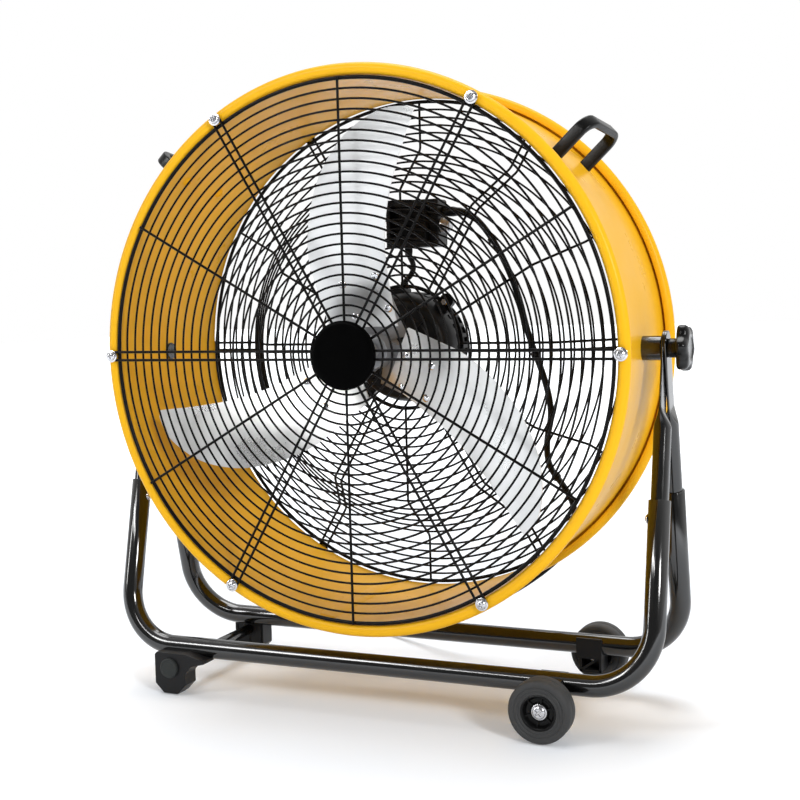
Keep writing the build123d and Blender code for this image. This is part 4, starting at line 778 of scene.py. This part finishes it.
def make_drum():
    profile = [(-100.0, 317.0)] + rim_arc(-1, 7.2) + rim_arc(-1, 6.0)[::-1]
    profile += [(y, 318.2) for y in (-105.0, -60.0, 0.0, 60.0, 105.0)]
    profile += rim_arc(1, 6.0) + rim_arc(1, 7.2)[::-1] + [(y, 317.0) for y in (100.0, 40.0, -40.0)]
    form = Form().lathe(profile, HEAD, Y, 288, loop=True)
    add("drum", form, "head", "drum_yellow", "drum_shell", angle=40)
    # Lapped seam of the rolled sheet, underneath.
    rows = []
    for y in (-98, 98):
        row = []
        for radius, turn in ((316.9, -100.0), (316.3, -99.7), (316.3, -96.6), (316.9, -96.3)):
            a = math.radians(turn)
            row.append(HEAD + Vector((radius * math.cos(a), y, radius * math.sin(a))))
        rows.append(row)
    add("drum_seam", Form().bar(rows), "head", "drum_yellow")


HANDLE_PLACES = {-1: (41.2, -27), 1: (43.2, 17)}  # angle above the horizontal, behind the middle
HANDLE_SKEW = -8  # degrees off the drum's axis
HANDLE_HALF = 44  # to the middle of a leg


def handle_axes(hand):
    angle, behind = HANDLE_PLACES[hand]
    turn = math.radians(angle)
    out = Vector((hand * math.cos(turn), 0, math.sin(turn)))
    along = Matrix.Rotation(math.radians(hand * HANDLE_SKEW), 3, out) @ Vector(Y)
    return HEAD + Vector((0, behind, 0)), along, out


def make_handles():
    bolts = Form()
    half = HANDLE_HALF
    section = rounded(box(-4, -8, 4, 8), 2.6, 4)
    for hand, name in ((-1, "left"), (1, "right")):
        origin, along, out = handle_axes(hand)
        corners = [(-half, 317.6), (-half, 370.2), (half, 370.2), (half, 317.6)]
        line = bent([origin + along * a + out * b for a, b in corners], 17, 12)
        wide = along.cross(out)
        rows = []
        for index, spot in enumerate(line):
            before, after = line[max(index - 1, 0)], line[min(index + 1, len(line) - 1)]
            thick = (after - before).normalized().cross(wide)
            reach = (spot - origin).dot(out)
            full = 1.0 + 0.10 * max(0.0, min(1.0, (reach - 352) / 18))
            rows.append([spot + thick * (x * full) + wide * (y * 0.98) for x, y in section])
        form = Form().bar(rows)
        nodes = (name + "_handle",)
        add(name + "_handle_bail", form, "head", "spacer_black", *nodes, angle=50, finish="hub_black")
        for end in SIDES:
            seat = origin + along * (half * end) + out * 317.0
            bolts.lathe([(-0.2, 7.0), (0.8, 7.0), (1.1, 6.6), (1.1, 1)], seat, -out, 28)
            bolts.screw(seat - out * 0.8, -out, 6.0, 2.4, 0.3)
    add("handle_bolt_heads", bolts, "head", "screw_steel", "handle_bolts", finish="drum_yellow")


KNOB = [
    (0.0, 10.0), (0.5, 10.8), (4.0, 11.0), (9.4, 11.0), (10.6, 11.8), (11.0, 14.0), (11.1, 23.5),
    (11.6, 25.8), (12.6, 27.2), (14.2, 27.9), (17.6, 27.9), (20.4, 27.6), (22.4, 26.4), (23.8, 24.4),
    (24.7, 21.4), (25.0, 17.5), (25.0, 12.2), (24.3, 11.6), (24.1, 10.6), (24.1, 0.6),
]


def lobed(turn, radius):
    """Six lobes, growing from the knob's neck outwards."""
    if radius < 12.5:
        return radius
    share = min(1.0, (radius - 12.5) / 12.0)
    lobe = (1 + math.cos(6 * (turn + math.radians(7.5)))) / 2
    return radius - 5.2 * share * (1 - lobe) ** 1.1


def make_pivots():
    form = Form()
    spacer = [(317.6, 14.0), (339.7, 14.0), (340.6, 13.2), (340.6, 5.1), (317.6, 5.1)]
    for hand in SIDES:
        form.lathe(spacer, HEAD, (hand, 0, 0), 56, loop=True)
    add("pivot_spacer_pair", form, "head", "spacer_black", "pivot_spacers")
    form = Form()
    cap = [(0, 10.6), (0.4, 11.0), (2.2, 11.0), (3.0, 10.0), (3.0, 1)]
    for hand in SIDES:
        form.lathe([(315.0, 4.9), (360.0, 4.9)], HEAD, (hand, 0, 0), 24)
        form.lathe(cap, HEAD + Vector((hand * 316.8, 0, 0)), (-hand, 0, 0), 36)
    add("pivot_bolt_pair", form, "head", "screw_steel", "pivot_bolts", finish="spacer_black")
    for hand, name in ((-1, "left"), (1, "right")):
        face = HEAD + Vector((hand * 347.3, 0, 0))
        form = Form().lathe(KNOB, face, (hand, 0, 0), 96, shape=lobed)
        body, nodes = name + "_knob", (name + "_tilt_knob",)
        add(body + "_moulded", form, body, "plastic_black", *nodes, angle=50, finish="knob_gloss")


make_drum()
make_handles()
make_pivots()


# ---- guards ----
RING_WIRE, SPOKE_WIRE, RIM_WIRE = 1.3, 1.62, 2.3  # radii
PAIR = 5  # from a double spoke's middle to each of its wires
SCREW_R = 322.5  # circle of the guard screws
FRONT_SPOKES, REAR_SPOKES = -120.5, 120.5  # depths
RIM_RING_R, RING_DEPTH = 314.2, 117.2
FIRST_RING, RING_STEP = 46, 11.652  # of the front guard
FLOOR_DEPTH, DISH_DEEP, DISH_WIDE = 47.2, 70, 56  # of the rear guard's floor and cone


def ring_line(radius, depth):
    sides = max(48, int(radius * 0.62))
    return [HEAD + Vector((radius * c, depth, radius * s)) for c, s in circle(sides)]


def polar(radius, degrees, depth, shift=0.0):
    turn = math.radians(degrees)
    out = Vector((math.cos(turn), 0, math.sin(turn)))
    flat = Vector((-math.sin(turn), 0, math.cos(turn)))
    return HEAD + out * radius + flat * shift + Vector((0, depth, 0))


def loop_end(angle, depth):
    """Half circle of a double spoke round its screw."""
    points = []
    for k in range(13):
        turn = -math.pi / 2 + math.pi * k / 12
        points.append(polar(SCREW_R + PAIR * math.cos(turn), angle, depth, PAIR * math.sin(turn)))
    return points


def make_front_guard():
    form = Form()
    for index in range(23):
        form.tube(ring_line(FIRST_RING + RING_STEP * index, -RING_DEPTH), RING_WIRE, 8, closed=True)
    form.tube(ring_line(RIM_RING_R, -116.9), RIM_WIRE, 10, closed=True)
    depth = FRONT_SPOKES
    for k in range(6):
        angle = 60 * k
        path = [polar(33, angle, depth, -PAIR), polar(180, angle, depth, -PAIR)]
        path += loop_end(angle, depth)
        path += [polar(180, angle, depth, PAIR), polar(33, angle, depth, PAIR)]
        form.tube(path, SPOKE_WIRE, 8, up=Y)
        single = [polar(radius, angle + 30, depth) for radius in (33, 180, 315.5)]
        form.tube(single, SPOKE_WIRE, 8, up=Y)
    add("front_guard_wires", form, "head", "guard_black", "front_guard", angle=60)
    profile = [
        (-122.3, 34.0), (-122.3, 39.2), (-122.9, 39.9), (-127.0, 40.0), (-128.8, 39.4),
        (-129.8, 38.0), (-130.2, 35.5), (-130.3, 30.0), (-130.3, 0.5),
    ]
    form = Form().lathe(profile, HEAD, Y, 96)
    add("hub_disc_plain", form, "head", "disc_black", "guard_hub_disc", angle=30)


def make_rear_guard():
    """Flat rings at the rim, a cone of rings, then a flat floor of rings round the motor."""
    form = Form()
    form.tube(ring_line(RIM_RING_R, 117.0), RIM_WIRE, 10, closed=True)
    rings = [(314 - 59 / 6 * index, RING_DEPTH) for index in range(1, 6)]
    for index in range(1, 6):
        radius = 199 + DISH_WIDE / 6 * index
        rings.append((radius, FLOOR_DEPTH + (radius - 200.5) * DISH_DEEP / DISH_WIDE))
    rings += [(92 + 104 / 9 * index, FLOOR_DEPTH) for index in range(10)]
    for radius, depth in rings:
        form.tube(ring_line(radius, depth), RING_WIRE, 8, closed=True)
    # Centre line of a spoke, half a wire behind the rings.
    length = math.hypot(DISH_DEEP, DISH_WIDE)
    inwards = 1.8 * DISH_DEEP / (length + DISH_WIDE)
    floor_bend = (REAR_SPOKES - DISH_DEEP, 199 - inwards)
    rim_bend = (REAR_SPOKES, 199 + DISH_WIDE - inwards)
    run = [(REAR_SPOKES - DISH_DEEP, 76), floor_bend, rim_bend, (REAR_SPOKES, 300)]
    for k in range(12):
        angle = 30 * k
        if k % 2:
            points = bent([polar(r, angle, d) for d, r in run], 9, 6)
            form.tube(points + [polar(315.5, angle, REAR_SPOKES)], SPOKE_WIRE, 8)
            continue
        first, second = (
            bent([polar(r, angle, d, shift) for d, r in run], 9, 6) for shift in (-PAIR, PAIR)
        )
        form.tube(first + loop_end(angle, REAR_SPOKES) + second[::-1], SPOKE_WIRE, 8)
    add("rear_guard_wires", form, "head", "guard_black", "rear_guard", angle=60)


def make_guard_screws():
    form = Form()
    washer = [(-0.2, 7.3), (0.0, 7.5), (0.8, 7.5), (1.0, 7.2), (1.0, 1)]
    for side in SIDES:
        outward = Vector((0, side, 0))
        for k in range(6):
            seat = polar(SCREW_R, 60 * k, side * 122.3)
            form.lathe(washer, seat, outward, 36)
            form.screw(seat + outward, outward, 5.5, 3.0, 0.3 + k)
            form.lathe([(0, 2), (11, 2)], seat, -outward, 12)
    add("guard_screw_heads", form, "head", "screw_steel", "guard_screws")


make_front_guard()
make_rear_guard()
make_guard_screws()


# ---- motor ----
FRONT_BELL = [
    (61.9, 68.5), (58.0, 69.0), (46.0, 66.4), (36.0, 63.4), (32.0, 61.0), (30.4, 58.0), (30.0, 54.0),
    (31.2, 52.0), (31.4, 44.0), (30.0, 42.0), (30.0, 28.0), (28.6, 25.2), (24.0, 24.0), (22.6, 23.2),
    (22.1, 21.0), (22.1, 15.0), (24.5, 14.0), (24.5, 8.0), (30.0, 8.0),
]
CASING = [(62.0, 66.0), (62.0, 69.0), (62.6, 70.0), (93.4, 70.0), (94.0, 69.0), (94.0, 66.0)]
REAR_BELL = [
    (94.0, 69.6), (95.5, 69.6), (100.0, 66.5), (104.5, 61.0), (107.2, 56.6), (107.9, 53.0),
    (107.9, 24.0), (106.6, 22.0), (106.6, 0.6),
]
CRADLE = [(52.3, 75.2), (52.3, 79.2), (52.9, 79.8), (54.7, 79.8), (55.3, 79.2), (55.3, 75.2)]
EAR_ANGLES = [45 + 90 * k for k in range(4)]
CRADLE_FRONT, EAR_FRONT, EAR_BACK = 52.3, 55.3, 61.3  # depths
BOLT_R = 80  # circle of the motor's bolts


def fins(turn, radius):
    return radius - (3.0 if math.cos(32 * turn) < 0.1 else 0.0)


def add_lugs(form, inner, outer, depths):
    """Four lugs at the motor's bolts."""
    outline = rounded(box(inner, -9, outer, 9), [0, 6, 6, 0], 5)
    for angle in EAR_ANGLES:
        form.bar([[polar(x, angle, depth, y) for x, y in outline] for depth in depths])


def make_motor():
    form = Form().lathe(FRONT_BELL, HEAD, Y, 96)
    for k in range(12):
        angle = 30 * k + 15
        rows = []
        for reach, rise in ((25.0, 30.4), (28.0, 28.4), (44.0, 28.6), (58.0, 31.0), (63.5, 37.5)):
            section = ((38, -1.5), (rise, -1.2), (rise, 1.2), (38, 1.5))
            rows.append([polar(reach, angle, depth, shift) for depth, shift in section])
        form.bar(rows)
    add_lugs(form, 62, 89, (EAR_FRONT, EAR_BACK))
    add("motor_bell_front", form, "head", "motor_black", "motor_front_bell", angle=35)
    form = Form().lathe(CASING, HEAD, Y, 384, shape=fins)
    add("motor_sleeve", form, "head", "motor_black", "motor_casing", angle=35)
    form = Form().lathe(REAR_BELL, HEAD, Y, 96)
    for k in range(16):
        section = ((107.5, -1.4), (108.0, -1.0), (108.0, 1.0), (107.5, 1.4))
        form.bar([[polar(reach, 22.5 * k, depth, shift) for depth, shift in section] for reach in (30, 50)])
    add("motor_bell_rear", form, "head", "motor_black", "motor_rear_bell", angle=35)
    form = Form().lathe(CRADLE, HEAD, Y, 96, loop=True)
    add_lugs(form, 77, 89.6, (CRADLE_FRONT, EAR_FRONT))
    add("motor_cradle_ring", form, "head", "guard_black", "motor_cradle", angle=35)
    form = Form()
    for angle in EAR_ANGLES:
        head = [(0, 4.3), (0.3, 4.5), (3.0, 4.5), (3.5, 4.0), (3.5, 0.5)]
        nut = [(-0.2, 4.4), (0.1, 4.5)] + head[2:]
        form.lathe(head, polar(BOLT_R, angle, CRADLE_FRONT), (0, -1, 0), 6)
        form.lathe(nut, polar(BOLT_R, angle, EAR_BACK), Y, 6)
        form.lathe([(0, 2.4), (16, 2.4)], polar(BOLT_R, angle, 48.2), Y, 16)
    add("motor_bolt_set", form, "head", "screw_steel", "motor_bolts")
    front = plane(HEAD, X, Z)
    form = Form().prism(rounded(box(-27, 62, -4, 75), [0, 0, 3, 3], 5), front, -88.5, -65)
    form.prism(rounded(box(-25.5, 64, -5.5, 73.5), 1.5, 3), front, -89.0, -88.0)
    add("terminal_cover", form, "head", "motor_black", "motor_terminal_box", bevel=0.7)


# ---- fan ----
BLADE_ANGLES = [41.8 - 120 * index for index in range(3)]
PITCH = math.radians(30.9)
CAMBER = 500  # radius of the blades' hollow side
CAMBER_DEEP, CAMBER_HIGH = CAMBER * math.cos(PITCH), CAMBER * math.sin(PITCH)
SHEET = 1.5
BLADE_DEPTH = -25  # of the hollow side on the blade's own radius
ARM_AT, ARM_TURN = (41, 52), math.radians(61.5)  # place and turn of an arm on its blade
STRAIGHT_EDGE = [(40, 4), (64, 33), (106, 77), (147, 107), (190, 130), (243, 154)]
CONVEX_EDGE = [
    (243, 154), (238, 164), (213, 183), (165, 193), (112, 184), (66, 160), (30, 130), (8, 98), (-18, 56),
]


def sheet_point(angle, out, sideways, radius):
    """On the bent sheet of one blade; radius is measured from the camber's centre."""
    depth = BLADE_DEPTH + CAMBER_DEEP - math.sqrt(radius * radius - (sideways - CAMBER_HIGH) ** 2)
    return polar(out, angle, depth, sideways)


def smooth_through(points):
    """Smooth flat curve through its points."""
    points = [Vector(p) for p in points]
    ends = [2 * points[0] - points[1], *points, 2 * points[-1] - points[-2]]
    line = []
    for p0, p1, p2, p3 in zip(ends, ends[1:], ends[2:], ends[3:]):
        square, cube = 2 * p0 - 5 * p1 + 4 * p2 - p3, 3 * p1 - p0 - 3 * p2 + p3
        for step in range(16):
            t = step / 16
            line.append(0.5 * (2 * p1 + (p2 - p0) * t + square * t**2 + cube * t**3))
    return line + [points[-1]]


def at_height(line, height):
    """Where a curve crosses a sideways distance."""
    for a, b in zip(line, line[1:]):
        if (a.y - height) * (b.y - height) <= 0 and a.y != b.y:
            return a.x + (b.x - a.x) * (height - a.y) / (b.y - a.y)
    return min(line, key=lambda p: abs(p.y - height)).x


def make_blade(index):
    convex = smooth_through(CONVEX_EDGE)
    top = max(range(len(convex)), key=lambda k: convex[k].y)
    right = smooth_through(STRAIGHT_EDGE) + convex[1 : top + 1]
    left = [Vector((40, 4))] + convex[top:][::-1]
    highest = convex[top].y
    heights = [4.6 + 2.4 * k for k in range(1, 62)] + [154.0]
    heights += [154 + (highest - 154) * math.sin(math.pi / 2 * k / 16) for k in range(1, 17)]
    heights = [4.3] + sorted(h for h in heights if h < highest - 0.02) + [highest - 0.02]
    count = 30
    shares = [(1 - math.cos(math.pi * k / count)) / 2 for k in range(count + 1)]
    rows = []
    for height in heights:
        low, high = at_height(left, height), at_height(right, height)
        high = max(high, low + 0.1)
        outs = [low + (high - low) * share for share in shares]
        front, behind = (
            [sheet_point(BLADE_ANGLES[index], out, height, radius) for out in outs]
            for radius in (CAMBER + SHEET, CAMBER)
        )
        rows.append(front + behind[::-1])
    name = f"blade_{index + 1}"
    add(name + "_sheet", Form().bar(rows), "rotor", "blade_silver", name, angle=50)


def arm_spot(along, side):
    """From a hub arm's own length and width to its blade's."""
    c, s = math.cos(ARM_TURN), math.sin(ARM_TURN)
    return ARM_AT[0] + along * c - side * s, ARM_AT[1] + along * s + side * c


def make_fan_hub():
    form = Form()
    stations = [-56 + 3.2 * k for k in range(26)]
    stations += [25 + 9 * math.sin(math.pi / 2 * k / 8) for k in range(9)]
    shares = [-1 + k / 6 for k in range(13)]
    for angle in BLADE_ANGLES:
        rows = []
        for along in stations:
            half = 28.0 if along <= 25 else 19 + math.sqrt(max(81 - (along - 25) ** 2, 0.0))
            spots = [arm_spot(along, half * share) for share in shares]
            front = [sheet_point(angle, u, v, CAMBER - 0.05) for u, v in spots]
            rows.append(front + [sheet_point(angle, u, v, CAMBER - 3.0) for u, v in reversed(spots)])
        form.bar(rows)
    barrel = [
        (-49.4, 6.5), (-50.0, 8.0), (-50.0, 19.6), (-49.0, 20.8), (-44, 21.0), (-10, 21.0),
        (-7, 20.4), (-6, 19.0), (-6, 6.5),
    ]
    form.lathe(barrel, HEAD, Y, 64, loop=True)
    form.lathe([(0, 3.0), (2.0, 3.0), (2.0, 1.4), (0.6, 1.4)], polar(20.4, 0, -16), X, 24)
    add("hub_and_arms", form, "rotor", "hub_steel", "fan_hub", angle=45)
    form = Form()
    outer = CAMBER + SHEET
    for angle in BLADE_ANGLES:
        flat = polar(0, angle, 0, 1) - HEAD
        for along in (-20, 20):
            for side in (-20, 20):
                u, v = arm_spot(along, side)
                surface = sheet_point(angle, u, v, outer)
                lean = v - CAMBER_HIGH
                normal = (flat * lean - Vector(Y) * math.sqrt(outer**2 - lean**2)).normalized()
                form.dome(surface, normal, 5.0, 2.0)
                form.dome(surface - normal * 4.54, -normal, 5.0, 2.0)
    add("rivet_heads", form, "rotor", "screw_steel", "blade_rivets", finish="rivet_bright")
    nut = [(-50, 11.0), (-50.4, 12.0), (-56.9, 12.0), (-58.0, 10.8), (-58.0, 6.5), (-50, 6.5)]
    form = Form().lathe(nut, HEAD, Y, 6, loop=True)
    add("hub_nut_hex", form, "rotor", "hub_steel", "hub_nut", bevel=0.3)
    form = Form().lathe([(-53.9, 5.4), (-53.0, 6.3), (101.0, 6.3), (101.9, 5.4)], HEAD, Y, 40)
    add("fan_shaft", form, "rotor", "hub_steel", "motor_shaft")


make_motor()
for index in range(3):
    make_blade(index)
make_fan_hub()


# ---- control box ----
BOX_LEFT, BOX_RIGHT, BOX_LOW, BOX_HIGH = -27.0, 45.0, 126.0, 186.0  # heights above the axis
SPEED_KNOB = [
    (0, 8.4), (0.4, 9.5), (8.6, 9.5), (9.6, 8.9), (10.0, 8.0), (12.2, 7.8), (12.8, 7.2), (13.0, 6.4),
    (12.7, 5.8), (12.7, 0.5),
]


def knurl(turn, radius):
    return radius - (0.45 if radius > 9.0 and math.cos(30 * turn) < 0 else 0.0)


def make_control_box():
    front = plane(HEAD, X, Z)  # height runs to the front
    left, right, low, high = BOX_LEFT, BOX_RIGHT, BOX_LOW, BOX_HIGH
    whole = rounded(box(left, low, right, high), 4.0, 5)
    form = Form().prism(whole, front, -91.9, -65.6)
    face = box(left + 11.6, low + 0.4, right - 0.4, high - 0.4)
    form.prism(rounded(face, [0.6, 3.6, 3.6, 0.6], 4), front, -65.8, -64.0)
    count = 12
    pitch = (high - low) / count
    for k in range(count):
        base = low + 0.9 + pitch * k
        slat = rounded(box(left + 0.5, base, left + 10.6, base + pitch - 1.7), 0.7, 3)
        form.prism(slat, front, -65.8, -64.0)
    add("box_housing", form, "head", "plastic_black", "control_box_housing", bevel=0.55)
    form = Form().prism(whole, front, -95.0, -92.15)
    form.prism(rounded(box(left + 6, low + 12, right - 6, high - 12), 2, 3), front, -92.2, -91.5)
    add("box_lid", form, "head", "plastic_black", "control_box_lid", bevel=0.7)
    form = Form()
    for x in (left + 6.5, right - 6.5):
        for z in (low + 6.5, high - 6.5):
            form.screw((x, 95.0, AXIS + z), Y, 3.0, 2.4, 0.2 + x)
    add("lid_screw_heads", form, "head", "screw_steel", "lid_screws")
    channel = [(-16, 48.7), (-16, 64), (34, 64), (34, 48.7), (32, 48.7), (32, 62), (-14, 62), (-14, 48.7)]
    form = Form().prism(channel, plane((0, 0, AXIS + 134), X, Y), 0, 44)
    add("box_channel", form, "head", "guard_black", "box_bracket", bevel=0.5)
    centre = Vector((45.4, 75, AXIS + 152.5))
    form = Form().lathe(SPEED_KNOB, centre, X, 240, shape=knurl)
    form.prism(box(-0.6, 3.0, 0.6, 7.4), plane(centre, Y, Z), 12.4, 12.98)
    add("speed_knob_turned", form, "speed_dial", "knob_silver", "speed_knob", angle=35)
    centre = Vector((45, 82, AXIS + 170))
    form = Form().lathe([(0, 6.8), (0.4, 7.0), (3.6, 7.0), (4.0, 6.7), (4.0, 4.2)], centre, X, 6)
    ring = [(3.8, 4.2), (3.8, 6.3), (6.6, 6.2), (7.6, 5.6), (8.0, 4.6), (8.0, 4.1)]
    form.lathe(ring, centre, X, 32)
    add("gland_cap", form, "head", "plastic_black", "cord_gland", angle=35)


def make_clips():
    """Bands round the cord, each between two of its points."""
    form = Form()
    band = [(-3, 4.02), (-3, 5.3), (-2.5, 5.7), (2.5, 5.7), (3, 5.3), (3, 4.02)]
    for first, second in ((3, 4), (6, 7), (10, 11)):
        middle = (Vector(cord_guard_points[first]) + Vector(cord_guard_points[second])) / 2
        near = min(cord_line, key=lambda p: (p - middle).length)
        where = cord_line.index(near)
        along = (cord_line[where + 1] - cord_line[where - 1]).normalized()
        form.lathe(band, near, along, 32, loop=True)
    add("cord_bands", form, "head", "cord_black", "cord_clips", angle=40)


make_control_box()
make_clips()

# CAD pieces whose own shape shows: hidden internals, all in black plastic but the motor's stator, rotor
# core and bearings in steel.
for name, node in frame["nodes"].items():
    finish = LOOKS["plastic_black"]
    if name in ("motor_stator", "motor_rotor_core", "motor_bearings"):
        finish = LOOKS["core_steel"]
    if node.data.materials:
        for place in node.material_slots:
            place.material = finish
    else:
        node.data.materials.append(finish)


# ---- floor, light and background ----
FLOOR_NEAR, FLOOR_FAR = 0.15, 0.72  # the floor's glow under the object and well behind it
WORLD_LIGHT, STUDIO_FRONT = 0.30, 0.18


def make_floor():
    """Pale floor that keeps the shadow; further out it is as white as the background."""
    corners = [(x, y, -0.0006) for x, y in box(-9, -6, 9, 14)]
    mesh = bpy.data.meshes.new("floor")
    mesh.from_pydata(corners, [], [(0, 1, 2, 3)])
    floor = bpy.data.objects.new("floor", mesh)
    bpy.context.scene.collection.objects.link(floor)
    made = bpy.data.materials.new("floor_pale")
    made.use_nodes = True
    tree = made.node_tree
    nodes, links = tree.nodes, tree.links
    shader = nodes["Principled BSDF"]
    shader.inputs["Base Color"].default_value = (0.86, 0.89, 0.93, 1)
    shader.inputs["Roughness"].default_value = 0.6
    shader.inputs["Specular IOR Level"].default_value = 0.0
    shader.inputs["Emission Color"].default_value = (1, 1, 1, 1)
    rays, place = nodes.new("ShaderNodeLightPath"), nodes.new("ShaderNodeTexCoord")
    reach = nodes.new("ShaderNodeVectorMath")
    reach.operation = "LENGTH"
    links.new(place.outputs["Object"], reach.inputs[0])
    glow = ranged(tree, reach.outputs["Value"], 0.75, 2.4, FLOOR_NEAR, FLOOR_FAR)
    seen = joined(tree, "MAXIMUM", rays.outputs["Is Camera Ray"], rays.outputs["Is Glossy Ray"])
    seen = joined(tree, "MAXIMUM", seen, rays.outputs["Is Transmission Ray"])
    links.new(joined(tree, "MULTIPLY", seen, glow), shader.inputs["Emission Strength"])
    mesh.materials.append(made)


def make_world():
    """White sweep behind the object, a dimmer studio round the camera, soft even light."""
    world = bpy.data.worlds.new("studio")
    bpy.context.scene.world = world
    world.use_nodes = True
    tree = world.node_tree
    nodes, links = tree.nodes, tree.links
    nodes.clear()
    out = nodes.new("ShaderNodeOutputWorld")
    soft, white = nodes.new("ShaderNodeBackground"), nodes.new("ShaderNodeBackground")
    soft.inputs["Color"].default_value = (0.97, 0.98, 1.0, 1)
    soft.inputs["Strength"].default_value = WORLD_LIGHT
    white.inputs["Color"].default_value = (1, 1, 1, 1)
    rays, place = nodes.new("ShaderNodeLightPath"), nodes.new("ShaderNodeTexCoord")
    apart = nodes.new("ShaderNodeSeparateXYZ")
    links.new(place.outputs["Generated"], apart.inputs["Vector"])
    studio = ranged(tree, apart.outputs["Y"], -0.75, 0.25, STUDIO_FRONT, 1.0)
    direct = joined(tree, "MAXIMUM", rays.outputs["Is Camera Ray"], rays.outputs["Is Transmission Ray"])
    links.new(joined(tree, "MAXIMUM", direct, studio), white.inputs["Strength"])
    seen = joined(tree, "MAXIMUM", direct, rays.outputs["Is Glossy Ray"])
    mixed = nodes.new("ShaderNodeMixShader")
    links.new(seen, mixed.inputs["Fac"])
    links.new(soft.outputs["Background"], mixed.inputs[1])
    links.new(white.outputs["Background"], mixed.inputs[2])
    links.new(mixed.outputs["Shader"], out.inputs["Surface"])


def make_lamp(name, kind, energy, away):
    """Lamp whose light comes from the direction away."""
    data = bpy.data.lights.new(name, kind)
    data.energy = energy
    lamp = bpy.data.objects.new(name, data)
    bpy.context.scene.collection.objects.link(lamp)
    lamp.rotation_euler = (-Vector(away)).to_track_quat("-Z", "Y").to_euler()
    return lamp


def make_light(name, place, target, size, energy, gloss_only=False):
    lamp = make_lamp(name, "AREA", energy, Vector(place) - Vector(target))
    lamp.data.shape = "RECTANGLE"
    lamp.data.size, lamp.data.size_y = size
    lamp.location = place
    lamp.visible_diffuse = not gloss_only


make_floor()
make_world()
make_lamp("sky_panel", "SUN", 2.25, (-0.15, 0.25, 1.0)).data.angle = math.radians(42)
make_light("key", (-1.7, -2.2, 2.3), (0, 0, 0.42), (0.9, 0.9), 24)
make_light("right", (2.4, -1.9, 1.5), (0, 0, 0.45), (0.5, 0.7), 52)
make_light("strip_left", (-2.1, -1.5, 0.95), (0, 0, 0.4), (0.2, 1.1), 15, gloss_only=True)
make_light("strip_front", (-1.1, -1.9, 1.75), (0, 0, 0.1), (2.0, 0.14), 20, gloss_only=True)
bpy.context.scene.view_settings.view_transform = "Standard"
